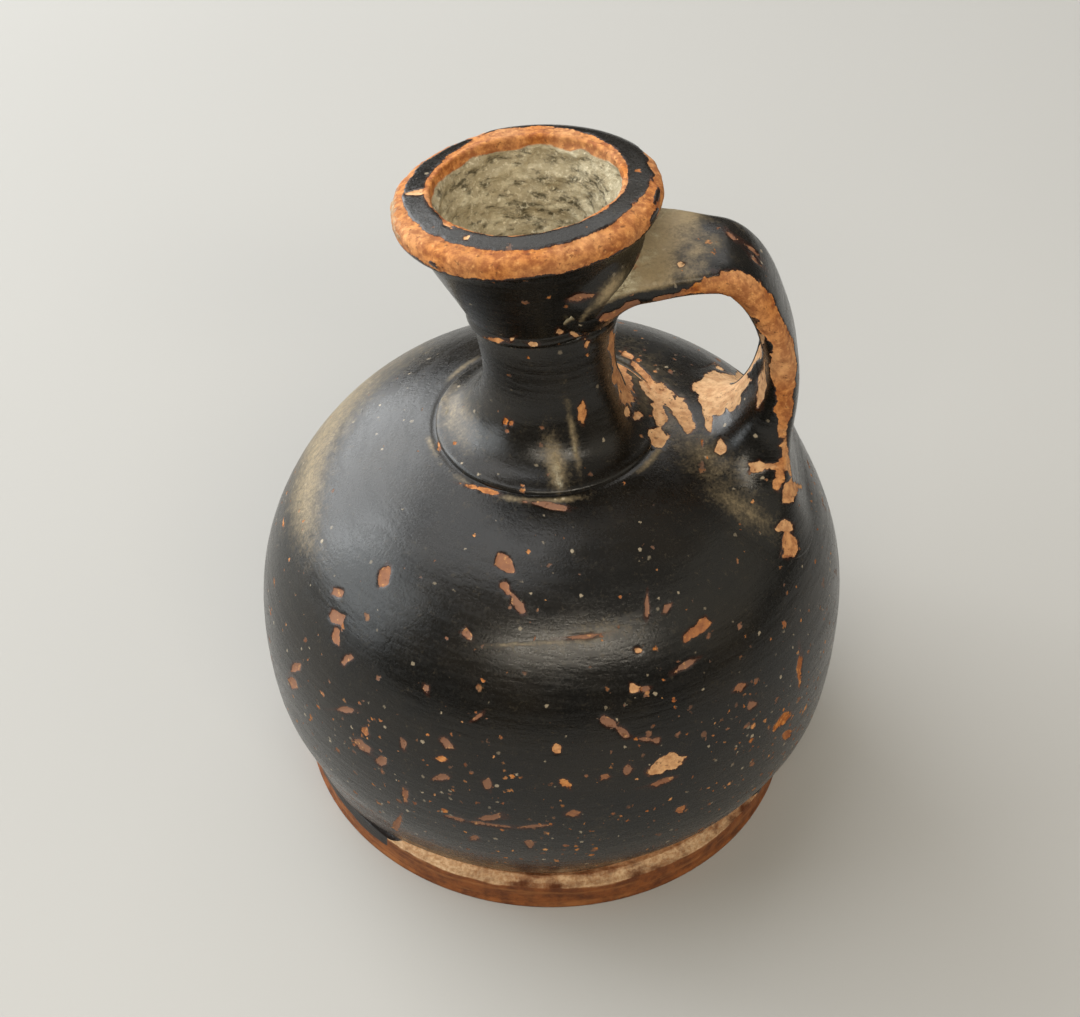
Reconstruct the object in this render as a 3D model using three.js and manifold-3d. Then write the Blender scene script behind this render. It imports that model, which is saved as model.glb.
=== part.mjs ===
// A small black-gloss oil flask: squat round body, ring foot, narrow neck, funnel mouth and strap handle.
// It is built as the potter built it: five separately made clay pieces, joined with thin films of slip.
// Millimetres, +Z up. The origin is on the body's axis, on the plane that the foot stands on.
// The handle is towards +X.
import * as THREE from "three";
import { mergeVertices } from "three/addons/utils/BufferGeometryUtils.js";
import Module from "manifold-3d";

// Joints
const SLIP_FILM = 0.3; // thickness of the slip between two luted pieces

// Foot ring
const FOOT_RADIUS = 39; // widest point of the ring
const FOOT_HEIGHT = 5.9; // resting plane to the inner edge of the ring's sloping ledge
const FOOT_SEAT_WIDTH = 6; // bevelled seat that carries the body, measured along the radius
const FOOT_SEAT_DROP = 2.4; // fall of that seat towards the middle
const FOOT_LEDGE = 2; // how far the ring stands out beyond the body
const FOOT_LEDGE_DROP = 0.8; // fall of the ledge towards its outer edge
const FOOT_EDGE_ROUND = 0.9; // rounding of the outer edges
const FOOT_INNER_FLARE = 1.2; // outward slope of the ring's inner face

// Body
const BELLY_RADIUS = 44;
const BELLY_HEIGHT = 28.5;
const LOWER_SWELL = 9.5; // how far the outline keeps upright below the belly
const LOWER_RISE = 5.4; // how far the outline climbs out of the foot before it swells
const LOWER_FLARE = 3.2; // how far it widens over that climb
const UPPER_SWELL = 18.8; // how far the outline keeps upright above the belly
const SHOULDER_RADIUS = 16; // groove round the base of the neck
const SHOULDER_HEIGHT = 63.4;
const SHOULDER_REACH = 18.4; // length of the nearly flat stretch of shoulder
const SHOULDER_SLOPE = THREE.MathUtils.degToRad(13);
const SHOULDER_TILT = THREE.MathUtils.degToRad(2.8); // the soft body settled away from the handle
const BODY_WALL = 4;
const BODY_FLOOR = 4.5;

// Neck
const NECK_OFFSET_AWAY = 1.3; // base of the neck, away from the handle
const NECK_OFFSET_BACK = 0.4; // base of the neck, towards +Y
const NECK_RADIUS = 8.6; // narrowest point
const NECK_WAIST_HEIGHT = 11.3; // narrowest point, above the shoulder
const NECK_HEIGHT = 19.2; // shoulder to the ridge where the mouth begins
const NECK_TOP_RADIUS = 9.1;
const NECK_BASE_EDGE = 0.5; // upright edge of the flared base
const NECK_BASE_DEPTH = 4; // how far the base reaches down before the shoulder cuts it
const NECK_FLARE_RUN = 4.4; // nearly flat stretch of the flare
const NECK_FLARE_LIFT = 1; // rise of that stretch
const NECK_FLARE_UPRIGHT = 6.2; // nearly upright stretch of the flare, below the waist
const NECK_RISE = 3; // nearly upright stretch above the waist
const NECK_BORE_RADIUS = 5.6;
const NECK_BEND = THREE.MathUtils.degToRad(5.3); // the neck was pushed over a little while soft
const NECK_BEND_BEARING = THREE.MathUtils.degToRad(135); // direction it leans, from +X towards +Y

// Mouth
const MOUTH_HEIGHT = 19.2; // ridge to the top of the lip
const MOUTH_RIDGE_RADIUS = 9.5; // raised ridge at the bottom of the funnel
const MOUTH_RIDGE_HEIGHT = 1.3;
const MOUTH_RIDGE_DEPTH = 0.25; // how far the ridge stands out
const MOUTH_WALL = 3.4;
const MOUTH_THROAT_HEIGHT = 5.8; // height of the narrowing above the ridge
const MOUTH_THROAT_SPREAD = 2.9; // its extra radius over the neck's bore
const MOUTH_FLARE_RADIUS = 15.4; // outside of the funnel just below the lip
const LIP_RADIUS = 17.7;
const LIP_HEIGHT = 3.9; // height of the moulded lip
const LIP_WIDEST_DROP = 2; // top of the lip to its widest point
const LIP_UNDERCUT = 0.7; // height of the hollow below the lip
const LIP_UNDERSIDE = 0.9; // width of the lip's flat underside
const LIP_EDGE_ROUND = 1; // rounding of the lip's outer edge
const LIP_TOP_FALL = 0.55; // fall of the lip's upper face towards its outer edge
const LIP_EDGE_FALL = 0.2; // further fall over the start of that rounding
const LIP_FACE_RADIUS = 15.5; // outer edge of the lip's upper face
const LIP_HOLE_RADIUS = 12.4;
const LIP_HOLE_ROUND = 0.7;

// Handle, in the plane through the body's axis towards +X
const HANDLE_WIDTH = 14;
const HANDLE_FOOT_WIDTH = 16.5; // spread where the strap is smoothed on to the shoulder
const HANDLE_THICKNESS_TOP = 3.9;
const HANDLE_THICKNESS_ROOT = 5.2;
const HANDLE_CREST_RISE = 10.9; // ridge of the mouth to the middle of the strap at its crest
const HANDLE_CREST_RADIUS = 20; // crest, from the body's axis
const HANDLE_CLIMB = 11; // height of the oval arc that climbs to the crest
const HANDLE_CLIMB_RUN = 21; // half length of that arc
const HANDLE_REACH = 31.2; // middle of the strap at its farthest point from the axis
const HANDLE_DROP = 25.2; // height of the oval arc that falls from the crest
const HANDLE_FOOT_RADIUS = 32.8; // where the strap meets the shoulder
const HANDLE_SINK = 3; // how far the strap's ends run on inside what they are joined to
const HANDLE_ROUNDNESS = 3; // exponent of the strap's rounded section
const THICKENING_START = 0.3; // share of the strap's length where it begins to thicken
const THICKENING_END = 0.75; // share where it is at its full thickness and begins to spread

// Fineness of the facets
const TURNED_SIDES = 56;
const NARROW_SIDES = 40;
const CURVE_STEPS = 8;
const EDGE_STEPS = 3; // on a small rounded edge
const HANDLE_STEPS = 28;
const HANDLE_SIDES = 16;
const MERGE_DISTANCE = 1e-4;

// Finishes
const GLOSS = { color: 0x1d1c1c, roughness: 0.35, metalness: 0 };
const WORN_GLOSS = { color: 0x2a2724, roughness: 0.45, metalness: 0 };
const FIRED_CLAY = { color: 0xb98a5f, roughness: 0.75, metalness: 0 };

const wasm = await Module();
wasm.setup();

// Solids and cuts

function solidFrom(geometry) {
  const bare = geometry.index ? geometry.toNonIndexed() : geometry.clone();
  bare.deleteAttribute("normal");
  bare.deleteAttribute("uv");
  const merged = mergeVertices(bare, MERGE_DISTANCE);
  const mesh = new wasm.Mesh({
    numProp: 3,
    vertProperties: new Float32Array(merged.attributes.position.array),
    triVerts: new Uint32Array(merged.index.array),
  });
  return new wasm.Manifold(mesh);
}

function geometryFrom(solid) {
  const mesh = solid.getMesh();
  const geometry = new THREE.BufferGeometry();
  geometry.setAttribute("position", new THREE.BufferAttribute(new Float32Array(mesh.vertProperties), 3));
  geometry.setIndex(new THREE.BufferAttribute(new Uint32Array(mesh.triVerts), 1));
  geometry.computeVertexNormals();
  return geometry;
}

// Outlines, as points of radius and height

function point(radius, height) {
  return new THREE.Vector2(radius, height);
}

function curve(start, startPull, endPull, end) {
  return new THREE.CubicBezierCurve(start, startPull, endPull, end).getPoints(CURVE_STEPS);
}

function roundedEdge(start, corner, end) {
  return new THREE.QuadraticBezierCurve(start, corner, end).getPoints(EDGE_STEPS);
}

// Moves an outline sideways along its own normals.
// Outlines run upwards on the outside, so a positive distance grows them.
function grown(outline, distance) {
  return outline.map((here, index) => {
    const before = outline[Math.max(index - 1, 0)];
    const after = outline[Math.min(index + 1, outline.length - 1)];
    const along = after.clone().sub(before).normalize();
    return point(here.x + along.y * distance, here.y - along.x * distance);
  });
}

// A turned solid round the Z axis. The outline's ends lie on the axis or meet each other.
function turned(outline, sides) {
  const geometry = new THREE.LatheGeometry(outline, sides);
  geometry.rotateX(Math.PI / 2);
  return geometry;
}

function filled(outline, sides) {
  const bottom = point(0, outline[0].y);
  const top = point(0, outline[outline.length - 1].y);
  return turned([bottom, ...outline, top], sides);
}

function moved(geometry, place) {
  const positions = geometry.attributes.position;
  const vertex = new THREE.Vector3();
  for (let index = 0; index < positions.count; index += 1) {
    vertex.fromBufferAttribute(positions, index);
    place(vertex);
    positions.setXYZ(index, vertex.x, vertex.y, vertex.z);
  }
  return geometry;
}

// The body's settling lifts the handle side of the shoulder and lowers the far side.
// It fades out towards the belly.
function settled(vertex) {
  const share = THREE.MathUtils.smoothstep(vertex.z, BELLY_HEIGHT, SHOULDER_HEIGHT);
  vertex.z += Math.tan(SHOULDER_TILT) * vertex.x * share;
}

// The neck's bend: a circular arc from the shoulder to the ridge, straight below it and above it.
function bendAt(height) {
  const turnedShare = THREE.MathUtils.clamp(height / NECK_HEIGHT, 0, 1);
  const angle = NECK_BEND * turnedShare;
  const arcRadius = NECK_HEIGHT / NECK_BEND;
  const beyond = height - NECK_HEIGHT * turnedShare;
  const sideways = arcRadius * (1 - Math.cos(angle)) + beyond * Math.sin(angle);
  const upwards = arcRadius * Math.sin(angle) + beyond * Math.cos(angle);
  const lean = new THREE.Vector3(Math.cos(NECK_BEND_BEARING), Math.sin(NECK_BEND_BEARING), 0);
  const axis = new THREE.Vector3(0, 0, 1).cross(lean);
  const matrix = new THREE.Matrix4().makeRotationAxis(axis, angle);
  return matrix.setPosition(lean.multiplyScalar(sideways).setZ(upwards));
}

function bent(vertex) {
  const matrix = bendAt(vertex.z);
  vertex.setZ(0).applyMatrix4(matrix);
}

// Groups: the neck stands on the tilted shoulder, and the mouth stands on the bent neck

const flask = new THREE.Group();
const neckGroup = new THREE.Group();
const mouthGroup = new THREE.Group();
neckGroup.position.set(-NECK_OFFSET_AWAY, NECK_OFFSET_BACK, SHOULDER_HEIGHT);
neckGroup.position.z -= Math.tan(SHOULDER_TILT) * NECK_OFFSET_AWAY;
neckGroup.rotation.y = -SHOULDER_TILT;
mouthGroup.applyMatrix4(bendAt(NECK_HEIGHT));
neckGroup.add(mouthGroup);
flask.add(neckGroup);
flask.updateMatrixWorld(true);

function addMesh(parent, name, geometry, finish) {
  const mesh = new THREE.Mesh(geometry, new THREE.MeshStandardMaterial(finish));
  mesh.name = name;
  parent.add(mesh);
}

// A geometry given in one group's frame, as a solid in another group's frame.
function carried(geometry, from, to) {
  const matrix = to.matrixWorld.clone().invert().multiply(from.matrixWorld);
  return solidFrom(geometry.clone().applyMatrix4(matrix));
}

// Foot ring

const footSeatOuter = FOOT_RADIUS - FOOT_LEDGE;
const footSeatInner = footSeatOuter - FOOT_SEAT_WIDTH;
const footSeatInnerHeight = FOOT_HEIGHT - FOOT_SEAT_DROP;
const ledgeEdgeHeight = FOOT_HEIGHT - FOOT_LEDGE_DROP;

function footRing() {
  const innerEdge = point(footSeatInner + FOOT_INNER_FLARE, 0);
  const lowerEdge = roundedEdge(
    point(FOOT_RADIUS - FOOT_EDGE_ROUND, 0),
    point(FOOT_RADIUS, 0),
    point(FOOT_RADIUS, FOOT_EDGE_ROUND),
  );
  const upperEdge = roundedEdge(
    point(FOOT_RADIUS, ledgeEdgeHeight - FOOT_EDGE_ROUND),
    point(FOOT_RADIUS, ledgeEdgeHeight),
    point(FOOT_RADIUS - FOOT_EDGE_ROUND, ledgeEdgeHeight),
  );
  const seat = [point(footSeatOuter, FOOT_HEIGHT), point(footSeatInner, footSeatInnerHeight)];
  return turned([innerEdge, ...lowerEdge, ...upperEdge, ...seat, innerEdge.clone()], TURNED_SIDES);
}

// Body

const bodyFootHeight = FOOT_HEIGHT + SLIP_FILM;
const bodyUndersideHeight = footSeatInnerHeight + SLIP_FILM;

function bodyOutline() {
  const seatEdge = point(footSeatOuter, bodyFootHeight);
  const belly = point(BELLY_RADIUS, BELLY_HEIGHT);
  const shoulder = point(SHOULDER_RADIUS, SHOULDER_HEIGHT);
  const lower = curve(
    seatEdge,
    point(footSeatOuter + LOWER_FLARE, bodyFootHeight + LOWER_RISE),
    point(BELLY_RADIUS, BELLY_HEIGHT - LOWER_SWELL),
    belly,
  );
  const upper = curve(
    belly,
    point(BELLY_RADIUS, BELLY_HEIGHT + UPPER_SWELL),
    point(
      SHOULDER_RADIUS + SHOULDER_REACH * Math.cos(SHOULDER_SLOPE),
      SHOULDER_HEIGHT - SHOULDER_REACH * Math.sin(SHOULDER_SLOPE),
    ),
    shoulder,
  );
  return [...lower, ...upper.slice(1)];
}

// The shoulder runs on under the neck, where it is flat enough to carry the neck's base.
const bodyOutside = bodyOutline();
const underNeckRise = (SHOULDER_RADIUS - NECK_BORE_RADIUS) * Math.tan(SHOULDER_SLOPE);
const underNeck = point(NECK_BORE_RADIUS, SHOULDER_HEIGHT + underNeckRise);

function bodyFilled(growth) {
  const upperOutline = grown([...bodyOutside, underNeck], growth);
  const seatStart = point(footSeatInner, bodyUndersideHeight - growth);
  return moved(filled([seatStart, ...upperOutline], TURNED_SIDES), settled);
}

function bodyHollow() {
  const inside = grown(bodyOutside, -BODY_WALL);
  const floorHeight = bodyUndersideHeight + BODY_FLOOR;
  const walls = inside.filter((spot) => spot.y > floorHeight);
  return moved(filled([point(walls[0].x - BODY_WALL, floorHeight), ...walls], TURNED_SIDES), settled);
}

// Neck

function neckOutline() {
  const top = NECK_HEIGHT - SLIP_FILM;
  const waist = point(NECK_RADIUS, NECK_WAIST_HEIGHT);
  const flare = curve(
    point(SHOULDER_RADIUS, NECK_BASE_EDGE),
    point(SHOULDER_RADIUS - NECK_FLARE_RUN, NECK_BASE_EDGE + NECK_FLARE_LIFT),
    point(NECK_RADIUS, NECK_WAIST_HEIGHT - NECK_FLARE_UPRIGHT),
    waist,
  );
  const rise = curve(
    waist,
    point(NECK_RADIUS, NECK_WAIST_HEIGHT + NECK_RISE),
    point(NECK_TOP_RADIUS, top - NECK_RISE),
    point(NECK_TOP_RADIUS, top),
  );
  return [point(SHOULDER_RADIUS, -NECK_BASE_DEPTH), ...flare, ...rise.slice(1)];
}

function neckFilled(growth) {
  return moved(filled(grown(neckOutline(), growth), NARROW_SIDES), bent);
}

function neckBore() {
  const below = -SHOULDER_RADIUS;
  const outline = [];
  for (let step = 0; step <= CURVE_STEPS; step += 1) {
    const height = (step / CURVE_STEPS) * (NECK_HEIGHT + SLIP_FILM);
    outline.push(point(NECK_BORE_RADIUS, height));
  }
  return moved(filled([point(NECK_BORE_RADIUS, below), ...outline], NARROW_SIDES), bent);
}

// Mouth, in its own frame with the ridge at height zero

function mouthOutline() {
  const lipBottom = MOUTH_HEIGHT - LIP_HEIGHT;
  const faceEdge = point(LIP_FACE_RADIUS, MOUTH_HEIGHT - LIP_TOP_FALL);
  const widest = point(LIP_RADIUS, MOUTH_HEIGHT - LIP_WIDEST_DROP);
  const underLip = curve(
    point(MOUTH_FLARE_RADIUS, lipBottom - LIP_UNDERCUT),
    point(MOUTH_FLARE_RADIUS + LIP_UNDERSIDE, lipBottom),
    point(LIP_RADIUS, lipBottom),
    widest,
  );
  const overLip = curve(
    widest,
    point(LIP_RADIUS, widest.y + LIP_EDGE_ROUND),
    point(LIP_FACE_RADIUS + LIP_EDGE_ROUND, faceEdge.y - LIP_EDGE_FALL),
    faceEdge,
  );
  return [
    point(MOUTH_RIDGE_RADIUS - MOUTH_RIDGE_DEPTH, 0),
    point(MOUTH_RIDGE_RADIUS, MOUTH_RIDGE_HEIGHT / 2),
    point(MOUTH_RIDGE_RADIUS - MOUTH_RIDGE_DEPTH, MOUTH_RIDGE_HEIGHT),
    ...underLip,
    ...overLip.slice(1),
  ];
}

function mouthFunnel() {
  const hole = point(LIP_HOLE_RADIUS + LIP_HOLE_ROUND, MOUTH_HEIGHT);
  const insideLip = point(LIP_HOLE_RADIUS, MOUTH_HEIGHT - LIP_HOLE_ROUND);
  const taper = curve(
    insideLip,
    point(MOUTH_FLARE_RADIUS - MOUTH_WALL, MOUTH_HEIGHT - LIP_HEIGHT),
    point(NECK_BORE_RADIUS + MOUTH_THROAT_SPREAD, MOUTH_THROAT_HEIGHT),
    point(NECK_BORE_RADIUS, 0),
  );
  return [hole, ...taper];
}

function mouthRing() {
  const outside = mouthOutline();
  return turned([...outside, ...mouthFunnel(), outside[0].clone()], NARROW_SIDES);
}

// For cutting the handle: the mouth without its funnel, reaching down past the ridge.
function mouthFilled(growth) {
  const outline = grown(mouthOutline(), growth);
  outline.unshift(point(outline[0].x, -SLIP_FILM));
  return filled(outline, NARROW_SIDES);
}

// Handle: a strap lofted along its middle line

// Height of the body's outside at a radius above the belly, on the handle's side.
function shoulderHeightAt(radius) {
  const above = bodyOutside.findIndex((spot) => spot.y > BELLY_HEIGHT && spot.x <= radius);
  const outer = bodyOutside[above - 1];
  const inner = bodyOutside[above];
  const share = (outer.x - radius) / (outer.x - inner.x);
  const vertex = new THREE.Vector3(radius, 0, THREE.MathUtils.lerp(outer.y, inner.y, share));
  settled(vertex);
  return vertex.z;
}

// The middle of the strap, as radius and height.
// It climbs out of the mouth in an oval arc, falls in a second one, and runs on to the shoulder.
function handleMiddleLine() {
  const ridge = new THREE.Vector3().setFromMatrixPosition(mouthGroup.matrixWorld);
  const crestHeight = ridge.z + HANDLE_CREST_RISE;
  const start = ridge.x + MOUTH_RIDGE_RADIUS - HANDLE_SINK;
  const startAngle = Math.acos(Math.max((start - HANDLE_CREST_RADIUS) / HANDLE_CLIMB_RUN, -1));
  const sideHeight = crestHeight - HANDLE_DROP;
  const footHeight = shoulderHeightAt(HANDLE_FOOT_RADIUS) - HANDLE_SINK;
  const overRun = HANDLE_REACH - HANDLE_CREST_RADIUS;
  const line = new THREE.Path();
  line.absellipse(
    HANDLE_CREST_RADIUS,
    crestHeight - HANDLE_CLIMB,
    HANDLE_CLIMB_RUN,
    HANDLE_CLIMB,
    startAngle,
    Math.PI / 2,
    true,
  );
  line.absellipse(HANDLE_CREST_RADIUS, sideHeight, overRun, HANDLE_DROP, Math.PI / 2, 0, true);
  line.quadraticCurveTo(HANDLE_REACH, (sideHeight + footHeight) / 2, HANDLE_FOOT_RADIUS, footHeight);
  return line;
}

function handleStrap() {
  const middle = handleMiddleLine();
  const positions = [];
  const triangles = [];
  const rounded = (value) => Math.sign(value) * Math.abs(value) ** (2 / HANDLE_ROUNDNESS);
  for (let ring = 0; ring <= HANDLE_STEPS; ring += 1) {
    const share = ring / HANDLE_STEPS;
    const centre = middle.getPointAt(share);
    const along = middle.getTangentAt(share);
    const outward = point(-along.y, along.x);
    const thickening = THREE.MathUtils.smoothstep(share, THICKENING_START, THICKENING_END);
    const spreading = THREE.MathUtils.smoothstep(share, THICKENING_END, 1);
    const halfWidth = THREE.MathUtils.lerp(HANDLE_WIDTH, HANDLE_FOOT_WIDTH, spreading) / 2;
    const thickness = THREE.MathUtils.lerp(HANDLE_THICKNESS_TOP, HANDLE_THICKNESS_ROOT, thickening);
    for (let side = 0; side < HANDLE_SIDES; side += 1) {
      const angle = (side / HANDLE_SIDES) * 2 * Math.PI;
      const across = rounded(Math.cos(angle)) * halfWidth;
      const deep = (rounded(Math.sin(angle)) * thickness) / 2;
      positions.push(centre.x + outward.x * deep, across, centre.y + outward.y * deep);
    }
  }
  const at = (ring, side) => ring * HANDLE_SIDES + (side % HANDLE_SIDES);
  for (let ring = 0; ring < HANDLE_STEPS; ring += 1) {
    for (let side = 0; side < HANDLE_SIDES; side += 1) {
      triangles.push(at(ring, side), at(ring + 1, side + 1), at(ring + 1, side));
      triangles.push(at(ring, side), at(ring, side + 1), at(ring + 1, side + 1));
    }
  }
  for (let side = 1; side < HANDLE_SIDES - 1; side += 1) {
    triangles.push(at(0, 0), at(0, side + 1), at(0, side));
    triangles.push(at(HANDLE_STEPS, 0), at(HANDLE_STEPS, side), at(HANDLE_STEPS, side + 1));
  }
  const geometry = new THREE.BufferGeometry();
  geometry.setAttribute("position", new THREE.Float32BufferAttribute(positions, 3));
  geometry.setIndex(triangles);
  return geometry;
}

// Assembly

const boreInFlask = carried(neckBore(), neckGroup, flask);
const body = solidFrom(bodyFilled(0)).subtract(solidFrom(bodyHollow())).subtract(boreInFlask);
const neck = solidFrom(neckFilled(0))
  .subtract(carried(bodyFilled(SLIP_FILM), flask, neckGroup))
  .subtract(solidFrom(neckBore()));
const handle = solidFrom(handleStrap())
  .subtract(solidFrom(bodyFilled(SLIP_FILM)))
  .subtract(carried(neckFilled(SLIP_FILM), neckGroup, flask))
  .subtract(carried(mouthFilled(SLIP_FILM), mouthGroup, flask));

addMesh(flask, "foot_ring", footRing(), FIRED_CLAY);
addMesh(flask, "body", geometryFrom(body), GLOSS);
addMesh(neckGroup, "neck", geometryFrom(neck), GLOSS);
addMesh(mouthGroup, "mouth", mouthRing(), WORN_GLOSS);
addMesh(flask, "handle", geometryFrom(handle), WORN_GLOSS);

export default flask;
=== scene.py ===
# The looks of a small black-gloss oil flask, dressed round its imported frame.
# Lengths are millimetres until a mesh is made, which is in metres. +Z is up and the handle is towards +X.
import itertools
import math
from collections import namedtuple

import bpy
import numpy as np
from mathutils import Matrix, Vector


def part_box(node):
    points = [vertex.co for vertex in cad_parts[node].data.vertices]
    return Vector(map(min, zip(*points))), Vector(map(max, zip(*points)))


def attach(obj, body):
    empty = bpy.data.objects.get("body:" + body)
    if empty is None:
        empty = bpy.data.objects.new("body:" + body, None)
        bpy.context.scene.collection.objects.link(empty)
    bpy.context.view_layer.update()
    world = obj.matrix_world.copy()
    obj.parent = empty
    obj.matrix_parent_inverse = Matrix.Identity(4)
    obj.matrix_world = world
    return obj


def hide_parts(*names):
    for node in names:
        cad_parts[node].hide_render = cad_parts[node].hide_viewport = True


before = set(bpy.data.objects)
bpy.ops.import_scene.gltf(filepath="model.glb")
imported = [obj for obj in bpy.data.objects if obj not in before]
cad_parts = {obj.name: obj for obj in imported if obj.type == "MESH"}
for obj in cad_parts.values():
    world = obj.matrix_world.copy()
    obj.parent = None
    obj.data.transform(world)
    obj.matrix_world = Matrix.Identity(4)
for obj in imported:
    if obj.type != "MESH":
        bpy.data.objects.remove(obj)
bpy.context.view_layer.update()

MM = 0.001


def box_top(node):
    return np.array(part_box(node)[1]) / MM


# Foot ring
FOOT_RADIUS = box_top("foot_ring")[0]
FOOT_HEIGHT = box_top("foot_ring")[2]
FOOT_SEAT_WIDTH = 6
FOOT_SEAT_DROP = 2.4
FOOT_LEDGE = 2
FOOT_LEDGE_DROP = 0.8
FOOT_EDGE_ROUND = 0.9
FOOT_INNER_FLARE = 1.2
foot_seat_outer = FOOT_RADIUS - FOOT_LEDGE
foot_seat_inner = foot_seat_outer - FOOT_SEAT_WIDTH
foot_seat_inner_height = FOOT_HEIGHT - FOOT_SEAT_DROP
ledge_edge_height = FOOT_HEIGHT - FOOT_LEDGE_DROP
FOOT_WORN = 0.3
FOOT_WORN_RISE = 1  # height over which that wear begins
# How far the body's lower edge hangs over the foot's ledge: bearing, spread and amount
OVERHANG = [
    (213, 28, 2.0),
    (305, 25, -0.8),
]
OVERHANG_RISE = 8  # height above the foot over which it ends
# How far the slip runs down the foot's face, and where it runs further: bearing, spread and amount
SLIP_RUN = 1.2
SLIP_RUN_FURTHER = (213, 40, 1.1)
SLIP_EDGE_SOFT = 0.5
LEDGE_DUST = 0.78  # how dusty the bare ledge is
LEDGE_DUST_LEAST = 0.35
LEDGE_DUST_DROP = 1.2  # height over which that dust ends on the foot's face
LEDGE_SLANT = 3  # slant of the ends of the bare ledge, in degrees for each millimetre
LEDGE_END_SOFT = 1  # and how soft they are, in degrees

# Body
BELLY_RADIUS = box_top("body")[0]
BELLY_HEIGHT = 28.5
LOWER_SWELL = 9.5
LOWER_RISE = 5.4
LOWER_FLARE = 3.2
UPPER_SWELL = 18.8
SHOULDER_RADIUS = 16
SHOULDER_HEIGHT = 63.4
SHOULDER_REACH = 18.4
SHOULDER_SLOPE = math.radians(13)
SHOULDER_TILT = math.radians(2.8)
BODY_WALL = 4
BODY_FLOOR = 4.5
# Where the body is fuller than an even turned shape: bearing, its spread, height, its spread, and amount
FULLNESS = [
    (105, 65, 56, 9, 1.3),
    (20, 40, 53, 8, 0.7),
    (205, 40, 17, 6, 0.7),
    (335, 30, 19, 7, 0.6),
    (355, 25, 40, 9, 0.4),
]
GROOVE_WIDTH = 0.5  # scored line round the base of the neck
GROOVE_DEPTH = 0.22
NECK_COVER = 1.5  # how far the body's finish runs in under the neck
FOOT_LINE_HEIGHT = 0.8  # height of the bare line just above the foot
FOOT_LINE_PALE = 0.75
FOOT_LINE_FROM = -0.5  # depth in that line from which it has its own paleness

# Neck
NECK_X = -1.3
NECK_Y = 0.4
NECK_BASE = np.array([NECK_X, NECK_Y, SHOULDER_HEIGHT + math.tan(SHOULDER_TILT) * NECK_X])
NECK_RADIUS = 8.6
NECK_WAIST_HEIGHT = 11.3
NECK_HEIGHT = 19.2
NECK_TOP_RADIUS = 9.1
NECK_BASE_EDGE = 0.5
NECK_BASE_DEPTH = 1.2
NECK_BASE_ROUND = 0.9
NECK_BASE_BLEND = 6  # points of the flare that its rounded edge takes up
NECK_FLARE_RUN = 4.4
NECK_FLARE_LIFT = 1
NECK_FLARE_UPRIGHT = 6.2
NECK_RISE = 3
NECK_BORE_RADIUS = 5.6
NECK_BEND = math.radians(5.3)
NECK_BEND_BEARING = math.radians(135)
# Clay smoothed down the neck below the handle: bearing, spread and amount, and heights where it begins
NECK_FULLER = (0, 60, 1.3)
NECK_FULLER_RISE = (1, 6)

# Mouth
MOUTH_HEIGHT = 19.2
MOUTH_RIDGE_RADIUS = 9.5
MOUTH_RIDGE_HEIGHT = 1.3
MOUTH_RIDGE_DEPTH = 0.15
MOUTH_RIDGE_BELOW = 1  # how far below the ridge the handle's clay meets the neck
MOUTH_WALL = 3.4
MOUTH_THROAT_HEIGHT = 5.8
MOUTH_THROAT_SPREAD = 2.9
MOUTH_FLARE_RADIUS = 15.4
LIP_RADIUS = 17.7
LIP_HEIGHT = 3.9
LIP_WIDEST_DROP = 2
LIP_UNDERCUT = 0.7
LIP_UNDERSIDE = 0.9
LIP_EDGE_ROUND = 1
LIP_EDGE_FALL = 0.2
LIP_TOP_FALL = 0.3
LIP_FACE_RADIUS = 15.5
LIP_HOLE_RADIUS = 12.4
LIP_HOLE_ROUND = 0.7
LIP_CLEAR = (1, 3)  # how far below the lip added clay begins
# Where the funnel and the lip are fuller, and where the bare lip is dusty: bearing, spread and amount
MOUTH_FULLER = (200, 50, 0.4)
LIP_DROOP = (235, 50, 0.7)
LIP_DUST = (185, 45, 0.52)

# Handle
HANDLE_WIDTH = 14
HANDLE_FOOT_WIDTH = 16.5
HANDLE_THICKNESS_TOP = 3.9
HANDLE_THICKNESS_ROOT = 5.2
HANDLE_CREST_RISE = 10.9
HANDLE_CREST_RADIUS = 20
HANDLE_CLIMB = 11
HANDLE_CLIMB_RUN = 21
HANDLE_REACH = 31.2
HANDLE_DROP = 25.2
HANDLE_FOOT_RADIUS = 32.8
HANDLE_SINK = 3
HANDLE_ROUNDNESS = 3
HANDLE_TWIST = 0.8  # lift of the far edge near the mouth, and drop of the near edge
HANDLE_FAR_LIFT = 0.8  # further lift of the far edge
HANDLE_TWIST_RUN = (21, 11)  # X between which the strap is twisted
THICKENING_START = 0.3
THICKENING_END = 0.75
HANDLE_SWEEP_BACK = 4  # how far the strap's near edge is swept back round the mouth
HANDLE_SWEEP_DOWN = 0.5  # and down it
HANDLE_SWEEP_END = 0.16  # share of the strap's length where the sweep ends
HANDLE_BURIED = 1.2  # depth of the strap's upper end below the clay that it runs into
MOUTH_BLEND = 5  # reach of the clay smoothed into the corner where the strap leaves the mouth
ROOT_INSIDE = 12  # reach of the strap's clay smoothed on to the shoulder, inside the handle
ROOT_NEAR = 9.5  # and at the strap's near edge
ROOT_FAR = 12  # and at its far edge
ROOT_OUTSIDE = 2.5  # and outside the handle
ROOT_ROWS = 60
ROOT_SUNK = 0.04  # depth at which that clay runs out, just below the shoulder
ROOT_HIDDEN = 0.5  # depth of the last of it
ROOT_START = 0.6  # share of the strap's length after which it comes down to the shoulder
ROOT_PASSES = 3
ROOT_SMOOTH = 4  # height above the shoulder below which the strap is smooth
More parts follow.
